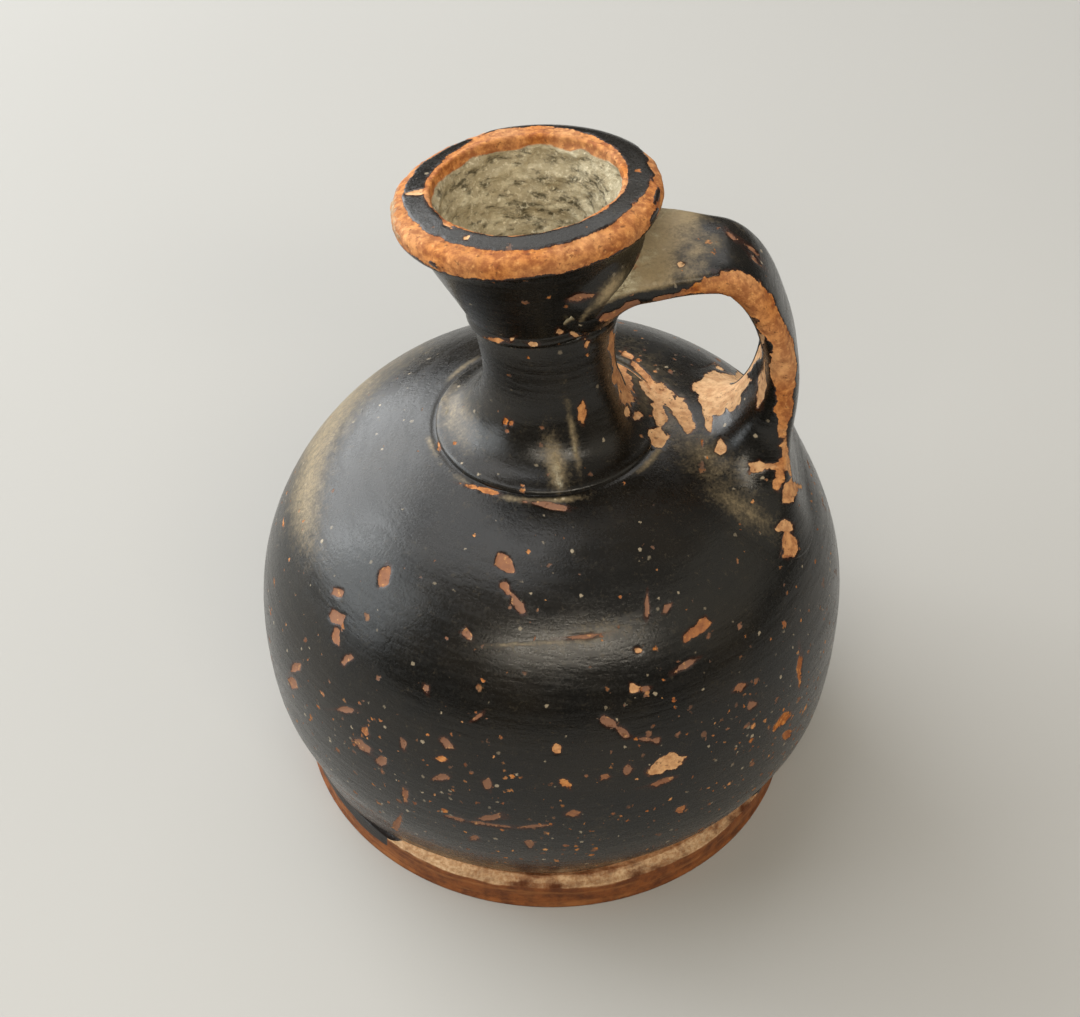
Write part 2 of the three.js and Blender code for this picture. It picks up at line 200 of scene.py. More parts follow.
# The strap's hand-smoothed section: share of its length, clay added outside and clay added inside
HANDLE_SHAPE = [
    (0.00, 0.0, 2.6),
    (0.06, 0.0, 2.0),
    (0.14, 0.0, 1.4),
    (0.24, 0.0, 1.0),
    (0.38, -0.4, 1.0),
    (0.50, -0.5, 0.5),
    (0.60, -0.2, 0.4),
    (0.66, -0.4, 1.0),
    (0.72, -0.7, 2.0),
    (0.80, -1.0, 3.2),
    (0.90, -0.6, 3.8),
    (1.00, 0.0, 4.0),
]
# Wear along the strap's near side: share of its length, middle of the wear outwards, half width
HANDLE_WEAR = [
    (0.00, -1.8, -0.6),
    (0.06, -1.8, 0.4),
    (0.20, -1.3, 0.9),
    (0.26, 0.0, 1.9),
    (0.34, 0.2, 2.4),
    (0.45, 0.6, 2.3),
    (0.58, 0.3, 1.9),
    (0.64, -0.1, 1.4),
    (0.70, -0.4, 0.8),
    (0.76, -0.3, 0.3),
    (0.82, -0.2, 0.3),
    (0.88, -0.2, 0.0),
    (0.92, 0.0, -1.0),
    (1.00, 0.0, -2.0),
]
HANDLE_FAR_WEAR = 0.1  # half width of the wear along its far side
HANDLE_PALE = 0.2
HANDLE_PALE_FROM = -0.2  # depth in the near wear from which it has that paleness
HANDLE_REDNESS = 0.9  # how much redder it is near the mouth
HANDLE_RED_RUN = (0.26, 0.18)  # shares of the length between which it turns redder
# Dust and crust on the strap: how strong, and between which X or shares of its length they come up
HANDLE_UPPER = (-0.1, 0.5)  # shares of the thickness between which the upper face begins
HANDLE_NEAR = (0.2, 0.9)  # shares of the half width between which the near side begins
HANDLE_DUST = 1.3
HANDLE_DUST_RUN = (23, 12)
HANDLE_CRUST = 0.5
HANDLE_CRUST_RUN = (20, 10)
HANDLE_TAIL = 0.75
HANDLE_TAIL_RUN = (0.2, 0.08)

# Fineness
TINY = 1e-6
NO_LENGTH = 1e-9
NOISE_CELLS = 64
OUTLINE_STEPS = 60
CORNER_STEPS = 8
BODY_SIDES = 760
BODY_SPACING = 0.36
FOOT_SIDES = 480
NECK_SIDES = 420
MOUTH_SIDES = 520
SPACING = 0.3  # along the outlines of the smaller pieces
COARSE_SPACING = 3  # where nothing shows
HANDLE_STEPS = 420
HANDLE_SIDES = 160
STRAP_ARC_STEPS = 80
STRAP_FOOT_STEPS = 30
STRAP_STRIDE = 4  # points skipped along the strap where only distances are wanted
STRAP_EASING = 15  # points over which changes of its thickness are eased
STRAP_EASING_PASSES = 2
BODY_NEAREST = 0.6  # spacing of the outline that distances from the body are taken to
MOUTH_NEAREST = 0.4  # and from the mouth
AXIS_GUARD = 1  # least radius that a point is pushed out from

# The photograph's camera
PHOTO_WIDTH = 1080
PHOTO_HEIGHT = 1017
LENS = 60
SENSOR = 36
FOCAL = LENS / SENSOR * PHOTO_WIDTH
CAMERA_EYE = np.array([0, -193.11, 230.95])
CAMERA_YAW = math.radians(-0.60)
CAMERA_PITCH = math.radians(43.77)
CAMERA_ROLL = math.radians(1.64)
PIXEL = 0.14  # size of a photograph's pixel on the flask
FACING = 0.05  # least cosine at which a surface is taken to face the camera
FADING = 0.35  # range of that cosine over which soft marks fade out behind

# Wear
FLAKE_LARGE = 7  # half width in pixels of flakes whose edges wander less
FLAKE_EDGES = 5
FLAKE_EDGE_TURN = 0.4  # how far those edges stray from an even turn, as a share of it
FLAKE_EDGE_LEAST = 0.65  # least distance of an edge, as a share of the flake's size
FLAKE_DEPTH = 0.16  # thickness of slip lost at a flake
FLAKE_LIMITS = (-0.08, 0.2)  # depths inside a flake between which that thickness is lost
WORN_LIMITS = (-0.1, 0.3)  # depths inside worn edges between which pits begin
FLAKE_RAGGED = 0.4  # how far a flake's edge wanders, as a share of its size
FAR = 9.0  # depth that stands for deep inside a flake, and below zero for far outside
BODY_REDNESS = 1.6  # how much redder the body's small flakes are than the lip
# How dense the body's specks are
SPECKS_ANYWHERE = 0.12
SPECKS_BELOW = 0.95
SPECKS_BELOW_LEFT = 0.65  # share of those below that the left has
SPECKS_AT_RIGHT = 0.3
SPECKS_LOW = (56, 34)  # heights between which those below come in
SPECKS_RIGHT = (-20, 25)  # X between which those at the right come in
CLUSTER_LEAST = 0.35
CLUSTER_GAIN = 0.9
CLUSTER_LIMITS = (-0.5, 0.7)
SMALL_PIECE_SPECKS = 0.15
HANDLE_SPECKS = 0.3
RIM_DUST = 0.7  # dust along the scored line
RIM_LIMITS = (-0.2, 0.6)
WHEEL_RELIEF = 0.004
BODY_WHEEL_LINES = 2.6  # turning lines, in radians for each millimetre of height
NECK_WHEEL_LINES = 4.2
# The deposit in the mouth
DEPOSIT_LIMITS = (0.2, 1.6)  # depths below the edge of the hole between which it begins
DEPOSIT_CRUST = 1.25
DEPOSIT_FLATNESS = np.array([1, 1, 1.8])

# Seeds of the noises
SEED_SWELL = 3
SEED_EDGE = 11
SEED_EDGE_FINE = 12
SEED_CRUST = 21
SEED_WORN = 31
SEED_LIP = 41

# Unevenness: how strong it is, its widest spacing, its seed and its layers
Uneven = namedtuple("Uneven", "amount spacing seed layers")
FLAKE_EDGE = Uneven(1, 2.4, SEED_EDGE, 2)
FLAKE_EDGE_FINE = Uneven(0.7, 0.8, SEED_EDGE_FINE, 1)
SCRATCH_EDGE = Uneven(1.2, 1.3, SEED_EDGE_FINE, 1)
SLIP_RUN_UNEVEN = Uneven(0.5, 8, SEED_WORN, 2)
LEDGE_PATCHES = Uneven(0.5, 15, SEED_CRUST, 1)
FOOT_LUMPS = Uneven(0.12, 5, SEED_WORN, 3)
FOOT_LINE_EDGE = Uneven(0.3, 4, SEED_WORN, 2)
BODY_LUMPS = Uneven(0.25, 30, SEED_SWELL, 1)
BODY_LUMPS_FINE = Uneven(0.05, 9, SEED_SWELL, 1)
BODY_WHEEL_WANDER = Uneven(2, 20, SEED_SWELL, 1)
RIM_PATCHES = Uneven(1, 5, SEED_CRUST, 1)
SPECK_CLUSTERS = Uneven(1, 16, SEED_WORN, 2)
NECK_LUMPS = Uneven(0.08, 6, SEED_SWELL, 1)
NECK_WHEEL_WANDER = Uneven(2, 10, SEED_SWELL, 1)
MOUTH_LUMPS = Uneven(0.12, 9, SEED_SWELL, 1)
LIP_EDGE = Uneven(0.3, 3.0, SEED_LIP, 5)
LIP_EDGE_FINE = Uneven(0.12, 0.9, SEED_EDGE, 3)
LIP_PITS = Uneven(0.14, 1.6, SEED_WORN, 3)
LIP_PALE_PATCHES = Uneven(0.25, 4, SEED_LIP, 1)
DEPOSIT_EDGE = Uneven(0.5, 2.5, SEED_CRUST, 1)
DEPOSIT_LUMPS = Uneven(0.6, 3.2, SEED_CRUST, 4)
HANDLE_LUMPS = Uneven(0.18, 7, SEED_SWELL, 1)
HANDLE_WEAR_EDGE = Uneven(0.85, 2.2, SEED_WORN, 4)
HANDLE_FAR_EDGE = Uneven(0.5, 2.5, SEED_LIP, 3)
HANDLE_PALE_PATCHES = Uneven(0.3, 5, SEED_LIP, 1)
HANDLE_DUST_EDGE = Uneven(4, 5, SEED_CRUST, 3)
HANDLE_CRUST_LUMPS = Uneven(0.12, 2.0, SEED_CRUST, 3)
HANDLE_PITS = Uneven(0.12, 1.6, SEED_WORN, 3)


# Marks seen in the photograph, by pixel. Sizes are half lengths in pixels, tilts are degrees clockwise.
# Paleness runs from 0, orange-red clay, to 1, cream.
Flake = namedtuple("Flake", "x y long short tilt pale")
Scratch = namedtuple("Scratch", "points width pale")

BODY_FLAKES = [
    Flake(383, 575, 14, 9, 100, 0.3),
    Flake(507, 565, 10, 9, 0, 0.3),
    Flake(503, 585, 6, 5, 90, 0.3),
    Flake(520, 607, 11, 5, 55, 0.2),
    Flake(338, 594, 6, 4, 0, 0.25),
    Flake(336, 617, 8, 6, 90, 0.25),
    Flake(335, 637, 8, 6, 90, 0.3),
    Flake(466, 634, 8, 6, 30, 0.25),
    Flake(295, 667, 5, 4, 90, 0.25),
    Flake(292, 684, 7, 4, 80, 0.25),
    Flake(346, 659, 6, 4, 120, 0.25),
    Flake(345, 710, 10, 3, 5, 0.2),
    Flake(364, 732, 5, 4, 60, 0.4),
    Flake(361, 746, 13, 4, 32, 0.2),
    Flake(381, 761, 5, 4, 20, 0.2),
    Flake(403, 746, 5, 3, 70, 0.2),
    Flake(425, 688, 6, 3, 70, 0.2),
    Flake(447, 744, 6, 3.5, 60, 0.1),
    Flake(478, 717, 9, 3, 140, 0.3),
    Flake(441, 760, 6, 4, 10, 0.7),
    Flake(440, 778, 9, 3, 170, 0.2),
    Flake(487, 786, 5, 4, 40, 0.0),
    Flake(405, 796, 8, 3, 80, 0.3),
    Flake(398, 823, 9, 3, 115, 0.3),
    Flake(485, 820, 13, 3, 175, 0.0),
    Flake(475, 838, 6, 3, 10, 0.2),
    Flake(529, 844, 5, 4, 20, 0.2),
    Flake(557, 750, 5, 4, 140, 0.8),
    Flake(638, 651, 5, 4, 0, 0.9),
    Flake(634, 689, 6, 5, 0, 0.9),
    Flake(646, 689, 6, 3, 170, 0.2),
    Flake(702, 627, 13, 6, 155, 0.4),
    Flake(647, 612, 13, 3, 92, 0.1),
    Flake(667, 608, 5, 3, 130, 0.2),
    Flake(687, 665, 11, 2.5, 150, 0.2),
    Flake(740, 687, 7, 3, 155, 0.3),
    Flake(750, 705, 7, 5, 100, 0.1),
    Flake(668, 764, 21, 10, 155, 0.9),
    Flake(568, 785, 8, 5, 30, 0.7),
    Flake(606, 778, 5, 4, 170, 0.3),
    Flake(628, 770, 7, 5, 115, 0.1),
    Flake(573, 814, 8, 3, 175, 0.3),
    Flake(660, 783, 11, 2.5, 158, 0.3),
    Flake(680, 810, 5, 4, 140, 0.4),
    Flake(799, 664, 15, 3, 95, 0.5),
    Flake(781, 722, 14, 3, 135, 0.6),
    Flake(786, 735, 6, 4, 140, 0.5),
    Flake(584, 636, 22, 1.8, 172, 0.1),
    Flake(550, 506, 26, 3.6, 12, 0.1),
    Flake(489, 491, 13, 3, 15, 0.7),
]
SHOULDER_LOSSES = [
    Flake(716, 393, 25, 20, 80, 1.0),
    Flake(736, 388, 26, 10, 118, 1.0),
    Flake(750, 360, 24, 8, 122, 0.95),
    Flake(708, 420, 9, 4, 85, 0.95),
    Flake(762, 385, 18, 5, 98, 0.8),
    Flake(662, 396, 19, 9, 35, 0.88),
    Flake(682, 413, 20, 8, 60, 0.88),
    Flake(659, 410, 22, 7, 75, 0.88),
    Flake(659, 438, 12, 10, 90, 0.88),
    Flake(721, 449, 7, 7, 0, 0.85),
    Flake(697, 386, 5, 4, 0, 0.8),
    Flake(638, 415, 6, 4, 20, 0.9),
    Flake(761, 466, 10, 7, 175, 0.8),
    Flake(779, 466, 12, 4, 175, 0.6),
    Flake(791, 490, 9, 7, 100, 0.5),
    Flake(785, 525, 10, 7, 10, 0.7),
    Flake(790, 545, 14, 9, 80, 0.4),
]
BODY_SCRATCHES = [
    Scratch(((444, 816), (466, 822), (495, 827), (521, 829), (552, 826)), 1.4, 0.0),
    Scratch(((603, 720), (620, 731), (634, 739), (656, 741)), 3.2, 0.1),
    Scratch(((625, 356), (645, 377), (660, 396)), 2.2, 0.8),
]
NECK_FLAKES = [
    Flake(499, 340, 10, 3, 5, 0.3),
    Flake(534, 344, 6, 4, 160, 0.9),
    Flake(512, 339, 3, 3, 0, 0.9),
    Flake(582, 411, 12, 5, 90, 0.3),
    Flake(505, 422, 3.5, 2, 90, 0.0),
    Flake(511, 423, 2.5, 2, 0, 0.2),
    Flake(577, 336, 9, 4, 30, 0.9),
    Flake(560, 331, 4, 3, 0, 0.8),
    Flake(592, 327, 8, 2.5, 130, 0.8),
    Flake(601, 318, 9, 2.5, 125, 0.4),
    Flake(586, 345, 5, 3, 90, 0.5),
    Flake(577, 296, 9, 2.2, 160, -0.9),
    Flake(614, 350, 20, 8, 82, 0.4),
    Flake(621, 376, 24, 8, 68, 0.45),
    Flake(629, 397, 12, 7, 60, 0.6),
    Flake(628, 411, 6, 4, 90, 0.9),
]
HANDLE_FLAKES = [
    Flake(781, 401, 14, 4, 90, 0.4),
    Flake(782, 427, 16, 4, 85, 0.4),
    Flake(785, 450, 14, 3, 85, 0.5),
    Flake(681, 264, 4, 2.5, 0, 1.0),
    Flake(731, 236, 8, 1.6, 40, -0.9),
    Flake(752, 250, 10, 1.1, 45, -0.9),
    Flake(757, 262, 8, 1.0, 45, -0.9),
]
# A painted reflection: the olive-ochre edge of a window's reflection along the left of the body, painted as
# a thin stretch of slip
BODY_REFLECTION_FILM = ((424, 344), (383, 366), (345, 405), (318, 450), (305, 500), (306, 540), (316, 570))
BODY_REFLECTION_FILM_WIDTH = 17
BODY_REFLECTION_FILM_STRENGTH = 0.72
BODY_REFLECTION_FILM_TOP = (304, 405)  # pixel rows between which it begins
BODY_REFLECTION_FILM_BOTTOM = (590, 500)  # and ends
# Dusty patches, some of them painted sheen: those at the handle's foot and along the front of the body are
# painted highlights; with how strong each is in place of paleness
BODY_DUST_AND_SHEEN = [
    Flake(705, 455, 60, 22, 40, 0.42),
    Flake(742, 508, 45, 14, 35, 0.5),
    Flake(650, 395, 60, 26, 50, 0.45),
    Flake(590, 636, 60, 14, 170, 0.3),
    Flake(528, 644, 44, 1.8, 178, 0.75),
    Flake(588, 637, 22, 3, 165, 0.8),
    Flake(602, 827, 24, 20, 0, 0.12),
]
# Dust on the neck, and painted reflections: the greenish sheen on the left of its flare and the bright
# highlight streak on its front
NECK_DUST_AND_SHEEN = [
    Flake(452, 410, 40, 22, 70, 0.5),
    Flake(556, 464, 29, 10, 78, 0.85),
    Flake(574, 440, 40, 4, 80, 0.7),
    Flake(640, 380, 50, 18, 60, 0.4),
]
# Where specks gather below the handle, with how many there are in place of paleness
ROOT_SPECKS = [
    Flake(735, 470, 90, 50, 60, 0.7),
]
MOUTH_DUST = [
    Flake(609, 290, 24, 7, 130, 1.0),
    Flake(586, 314, 16, 3, 125, 0.6),
]
# Crust on the neck; the patches on the front of the flare also whiten the painted highlight streak there
NECK_CRUST_AND_SHEEN = [
    Flake(557, 468, 26, 8, 78, 0.58),
    Flake(575, 450, 30, 3, 82, 0.45),
    Flake(443, 400, 34, 7, 72, 0.34),
    Flake(592, 326, 26, 7, 140, 0.45),
]
# Where the bare ledge of the foot begins and ends
LEDGE_LEFT_PIXEL = (386, 834)
LEDGE_RIGHT_PIXEL = (756, 786)

# Where the lip is still black: bearing in degrees from +X, inner radius and outer radius
LIP_BLACK = [
    (0, 13.1, 15.9),
    (25, 13.3, 16.6),
    (50, 14.2, 19),
    (75, 15.2, 19),
    (95, 15.7, 19),
    (106, 16.2, 16.7),
    (118, 15.0, 15.5),
    (132, 14.0, 15.9),
    (148, 13.6, 16.1),
    (165, 13.3, 16.0),
    (195, 12.9, 15.9),
    (225, 12.8, 15.7),
    (270, 12.8, 15.5),
    (315, 12.9, 15.5),
    (340, 13.0, 15.6),
    (360, 13.1, 15.9),
]
# Chips in the lip's black, and slip kept on its bare roll
LIP_FLAKES = [
    Flake(418, 191, 15, 2.4, 170, 0.8),
    Flake(466, 237, 3.5, 2, 0, 1.0),
    Flake(447, 222, 6, 3, 35, 0.6),
    Flake(595, 238, 7, 3, 150, 0.3),
    Flake(634, 205, 5, 3, 100, 0.3),
    Flake(560, 250, 10, 3, 175, 0.4),
]
LIP_KEPT = [
    Flake(650, 172, 7, 3, 60, 0),
    Flake(657, 196, 9, 3, 95, 0),
    Flake(654, 216, 10, 3, 110, 0),
    Flake(640, 241, 9, 3, 140, 0),
    Flake(616, 256, 10, 2.5, 157, 0),
    Flake(436, 262, 11, 2.5, 32, 0),
]
LIP_BLACK_BELOW = 1.0  # height of the lip's lower edge that keeps its slip
LIP_PALE = 0.18
LIP_PALE_FROM = -0.3  # depth in the lip's wear from which it has that paleness

# Textures of the finishes: spacing, detail and roughness
GRAIN = (0.4, 3, 0.65)
WAVES = (3.0, 4, 0.6)
CLOUDS = (12, 5, 0.6)
FLAKE_RIM = (0.6, 4, 0.75)
FLAKINESS = (1.3, 5, 0.7)
WHEEL_LINES = (1.4, 4, 0.6)
CLAY_MOTTLE = (1.2, 5, 0.7)
CLAY_FLECKS = (0.6, 3, 0.6)
CLAY_PITS = (0.75, 3, 0.6)
CRUST_LUMPS = (2.4, 6, 0.68)
CRUST_CRUMBS = (0.6, 4, 0.7)
CRUST_STREAKS = (3.5, 4, 0.6)
FOOT_LINES = (1.0, 3, 0.6)
FOOT_MOTTLE = (2.6, 5, 0.68)
FOOT_GRIT = (0.5, 4, 0.7)
FLOOR_CLOUDS = (260, 2, 0.5)
# How textures are squeezed along X, Y and Z
EVEN = (1, 1, 1)
LONG_DASHES = (1, 0.3, 1)
WHEEL_SQUEEZE = (0.22, 0.22, 1.6)
CRUST_SQUEEZE = (1, 1, 2.6)
FOOT_SQUEEZE = (0.1, 0.1, 1)
# How they are turned, so that layers of specks differ
NO_TURN = (0, 0, 0)
FINE_TURN = (0.2, 0.4, 0.1)
DASH_TURN = (0.5, 0.3, 0.9)
# How specks are shaken out of round: spacing and amount
SPECK_SHAKE = (0.5, 0.9)
DUST_SHAKE = (0.4, 0.6)
# Specks: spacing, share of the field's density, least density, smallest and largest radius
Speck = namedtuple("Speck", "spacing share least smallest largest")
DOTS = Speck(2.3, 0.45, 0, 0.12, 0.5)
FINE_DOTS = Speck(1.15, 0.45, 0, 0.08, 0.28)
DASHES = Speck(1.9, 0.4, 0, 0.14, 0.4)
DUST_DOTS = Speck(1.3, 0.32, 0.05, 0.08, 0.3)
SPECK_SOFT = 0.05
DUST_STRENGTH = 0.7
# Smooth steps: where they begin and end, and the values there where these aren't 0 and 1
SPECK_STRENGTH = (0.1, 0.9, 0.4, 1.0)
SPECK_PALE = (0.5, 1.0, -0.9, 0.35)
FLAKED = (-0.03, 0.04)
THINNED = (-0.35, 0.02, 0.0, 0.8)
CLOUDED = (0.35, 0.7)
FILMED = (0.05, 1.2)
GLOSS_ROUGHNESS = (0.3, 0.7, 0.21, 0.31)
MOTTLED = (0.36, 0.64)
FLECKED = (0.6, 0.7, 0.0, 0.55)
PITTED = (0.6, 0.68, 0.0, 0.65)
CRUSTED = (0.35, 0.75)
LUMPY = (0.36, 0.52)
STREAKED = (0.48, 0.68, 0.0, 0.75)
CRUMBLED = (0.5, 0.74, 0.0, 0.8)
FOOT_MOTTLED = (0.34, 0.66)
FOOT_LINED = (0.45, 0.7, 0.0, 0.6)
FOOT_GRITTY = (0.35, 0.65)
FOOT_DUSTY = (0.3, 0.95)
FOOT_GLAZED = (0.42, 0.55)
# How far textures shift those steps
FLAKE_SHIFT = 0.5
FILM_SHIFT = 0.9
FILM_GRAIN_SHIFT = 0.6
CRUST_SHIFT = 1.1
FOOT_DUST_SHIFT = 1.1
FOOT_LINE_SHIFT = 1.2
FOOT_GLAZE_SHIFT = 0.5
# Colours as six-digit screen codes, in pairs where they run from one to the other
CLAY_ORANGE = ("8c450f", "c67a30")
CLAY_CREAM = ("c29266", "e4bc8e")
CLAY_RED = "86604a"
CLAY_FLECK = "dca668"
CLAY_PIT = "5a3016"
SLIP_BLACK = ("0d0c0a", "18140e")
# Olive film, also the colour of the painted sheen and painted reflections on the slip
SLIP_FILM_AND_SHEEN = ("7a6b50", "b09c78")
SLIP_THIN = "35190d"
SLIP_DUST = "b9a98f"
CRUST_BASE = ("544d39", "ada184")
CRUST_STREAK = "dcd2b4"
CRUST_CRUMB = "eee5c8"
FOOT_BROWN = ("5e3010", "8a4e20")
FOOT_LINE = "9d6535"
FOOT_DUST = ("bd946a", "e2c39b")
FOOT_SLIP = "12100f"
FLOOR_GREY = ("aeadaa", "b5b4b1")
# Roughness and shine
WHEEL_ROUGHNESS = 0.35
FILM_ROUGHNESS = 0.5
WORN_ROUGHNESS = 0.85
FOOT_ROUGHNESS = 0.82
FOOT_SLIP_ROUGHNESS = 0.4
FLOOR_ROUGHNESS = 0.9
GLOSS_SPECULAR = 0.42
FLOOR_SPECULAR = 0.1
# Heights of the fine relief, in millimetres
GRAIN_BUMP = 0.025
WAVE_BUMP = 0.03
WHEEL_BUMP = 0.06
LOST_BUMP = -0.06
CRUMB_BUMP = 0.35
FOOT_BUMP = 0.1

# Stage
FLOOR_HALF = 3000
WORLD_LOW = 0.06
WORLD_HIGH = 0.36
WORLD_TINT = (1.0, 0.94, 0.84, 1)
CLIP_START = 10
LAMP_AIM = np.array([0, 0, 50])
# Lamps: name, bearing, elevation, distance, width, height, brightness and tint
LAMPS = [
    ("window", 142, 23, 950, 850, 740, 4.9, (0.97, 0.99, 1.0)),
    ("side_window", 182, 22, 950, 700, 600, 3.6, (0.93, 0.98, 1.0)),
    ("ceiling", 155, 68, 950, 800, 700, 2.2, (0.98, 0.99, 1.0)),
    ("back_glow", 90, 43, 950, 700, 300, 2.0, (1.0, 0.98, 0.95)),
    ("right_fill", -15, 30, 950, 900, 700, 0.5, (1.0, 0.94, 0.78)),
    ("front_strip", -83, 41, 850, 760, 120, 13, (1.0, 0.91, 0.76)),
]


# Small tools

def smooth_step(value, low, high):
    share = np.clip((value - low) / (high - low), 0, 1)
    return share * share * (3 - 2 * share)


def noise(points, spacing, seed):
    """Smooth noise from -1 to 1, with random values on a lattice of that spacing."""
    values = np.random.default_rng(seed).uniform(-1, 1, (NOISE_CELLS,) * 3)
    place = points / spacing
    corner = np.floor(place).astype(int)
    part = place - corner
    part = part * part * (3 - 2 * part)
    total = np.zeros(points.shape[:-1])
    for step in itertools.product((0, 1), repeat=3):
        index = (corner + step) % NOISE_CELLS
        weight = np.prod(np.where(step, part, 1 - part), axis=-1)
        total += weight * values[index[..., 0], index[..., 1], index[..., 2]]
    return total


def rough_noise(points, spacing, seed, layers):
    total = np.zeros(points.shape[:-1])
    for layer in range(layers):
        total += noise(points, spacing / 2**layer, seed + layer) / 2**layer
    return total


def unevenness(points, kind):
    return kind.amount * rough_noise(points, kind.spacing, kind.seed, kind.layers)


def bell(value, spread):
    """1 at zero, falling away to both sides."""
    return np.exp(-((value / spread) ** 2))


def bearings(points):
    """Bearings of points round the Z axis, in degrees from +X."""
    return np.degrees(np.arctan2(points[..., 1], points[..., 0]))


def turn_from(bearing, middle):
    """Turn from one bearing to another, from -180 to 180 degrees."""
    return (bearing - middle + 180) % 360 - 180

def bulge(bearing, row):
    """An amount that is greatest at one bearing. The row holds that bearing, the spread and the amount."""
    middle, spread, amount = row
    return amount * bell(bearing - middle, spread)


def unit(vectors):
    return vectors / np.maximum(np.linalg.norm(vectors, axis=-1, keepdims=True), NO_LENGTH)


def pushed_out(grid, normals, distance):
    return grid + normals * distance[..., None]


# Outlines, as rows of radius and height

def bezier(start, start_pull, end_pull, end, steps=OUTLINE_STEPS):
    share = np.linspace(0, 1, steps + 1)[:, None]
    corners = [np.array(corner, float) for corner in (start, start_pull, end_pull, end)]
    weights = ((1 - share) ** 3, 3 * (1 - share) ** 2 * share, 3 * (1 - share) * share**2, share**3)
    return sum(weight * corner for weight, corner in zip(weights, corners))


def chained(*stretches):
    rows = [np.atleast_2d(np.array(stretch, float)) for stretch in stretches]
    joined = np.vstack(rows)
    step = np.linalg.norm(np.diff(joined, axis=0), axis=1)
    return joined[np.concatenate([[True], step > TINY])]


def evenly(outline, spacing):
    """The same outline with points at an even spacing."""
    length = np.concatenate([[0], np.cumsum(np.linalg.norm(np.diff(outline, axis=0), axis=1))])
    wanted = np.linspace(0, length[-1], max(int(length[-1] / spacing), 2) + 1)
    return np.stack([np.interp(wanted, length, column) for column in outline.T], axis=1)


def outwards(outline):
    """Which way is out at each point of an outline that runs upwards on the outside."""
    along = unit(np.gradient(outline, axis=0))
    return np.stack([along[:, 1], -along[:, 0]], axis=1)


def grown(outline, distance):
    return outline + distance * outwards(outline)


def turned(outline, sides):
    """Rings round the Z axis, as an array of ring, side and coordinate."""
    angle = np.linspace(0, 2 * math.pi, sides, endpoint=False)
    radius = outline[:, :1]
    height = np.repeat(outline[:, 1:], sides, axis=1)
    return np.stack([radius * np.cos(angle), radius * np.sin(angle), height], axis=2)


def normals_of(grid, looped):
    if looped:
        along = np.roll(grid, -1, axis=0) - np.roll(grid, 1, axis=0)
    else:
        along = np.gradient(grid, axis=0)
    around = np.roll(grid, -1, axis=1) - np.roll(grid, 1, axis=1)
    return unit(np.cross(around, along))


# The photograph's view

def camera_axes():
    forward = np.array([
        math.sin(CAMERA_YAW) * math.cos(CAMERA_PITCH),
        math.cos(CAMERA_YAW) * math.cos(CAMERA_PITCH),
        -math.sin(CAMERA_PITCH),
    ])
    level = unit(np.cross(forward, [0, 0, 1]))
    upright = np.cross(level, forward)
    right = math.cos(CAMERA_ROLL) * level + math.sin(CAMERA_ROLL) * upright
    up = -math.sin(CAMERA_ROLL) * level + math.cos(CAMERA_ROLL) * upright
    return right, up, forward


def to_pixels(points):
    right, up, forward = camera_axes()
    offset = points - CAMERA_EYE
    depth = offset @ forward
    x = PHOTO_WIDTH / 2 + FOCAL * (offset @ right) / depth
    y = PHOTO_HEIGHT / 2 - FOCAL * (offset @ up) / depth
    return x, y


def bearing_of(pixel, height):
    """Bearing, in degrees from +X, of what a pixel shows on a level plane."""
    right, up, forward = camera_axes()
    x = (pixel[0] - PHOTO_WIDTH / 2) / FOCAL
    y = (PHOTO_HEIGHT / 2 - pixel[1]) / FOCAL
    ray = forward + x * right + y * up
    spot = CAMERA_EYE + ray * (height - CAMERA_EYE[2]) / ray[2]
    return math.degrees(math.atan2(spot[1], spot[0]))


def facing(points, normals):
    """How squarely a surface faces the camera: 1 if it faces it, 0 if it is edge on."""
    sight = CAMERA_EYE - points
    return np.sum(sight * normals, axis=-1) / np.linalg.norm(sight, axis=-1)


def seen(points, normals):
    """Which part of a soft mark shows, fading out where the surface turns away from the camera."""
    return smooth_step(facing(points, normals), FACING - FADING, FACING)


def line_distance(x, y, points):
    """Distance in pixels to a broken line."""
    nearest = np.full(x.shape, np.inf)
    for (x0, y0), (x1, y1) in zip(points, points[1:]):
        run = np.array([x1 - x0, y1 - y0], float)
        share = np.clip(((x - x0) * run[0] + (y - y0) * run[1]) / (run @ run), 0, 1)
        nearest = np.minimum(nearest, np.hypot(x - x0 - share * run[0], y - y0 - share * run[1]))
    return nearest


def angular(along, across, seed):
    """How far out a point lies in a chip with straight broken edges, as a share of the chip's size."""
    chance = np.random.default_rng(seed)
    stray = chance.uniform(-FLAKE_EDGE_TURN, FLAKE_EDGE_TURN, FLAKE_EDGES)
    turns = 2 * math.pi / FLAKE_EDGES * (np.arange(FLAKE_EDGES) + stray)
    reach = np.zeros(along.shape)
    for turn, size in zip(turns, chance.uniform(FLAKE_EDGE_LEAST, 1, FLAKE_EDGES)):
        reach = np.maximum(reach, (along * math.cos(turn) + across * math.sin(turn)) / size)
    return reach


def within(x, y, mark):
    """Where pixels lie along and across a mark, as shares of its half length and half width."""
    turn = math.radians(mark.tilt)
    along = (x - mark.x) * math.cos(turn) + (y - mark.y) * math.sin(turn)
    across = (y - mark.y) * math.cos(turn) - (x - mark.x) * math.sin(turn)
    return along / mark.long, across / mark.short


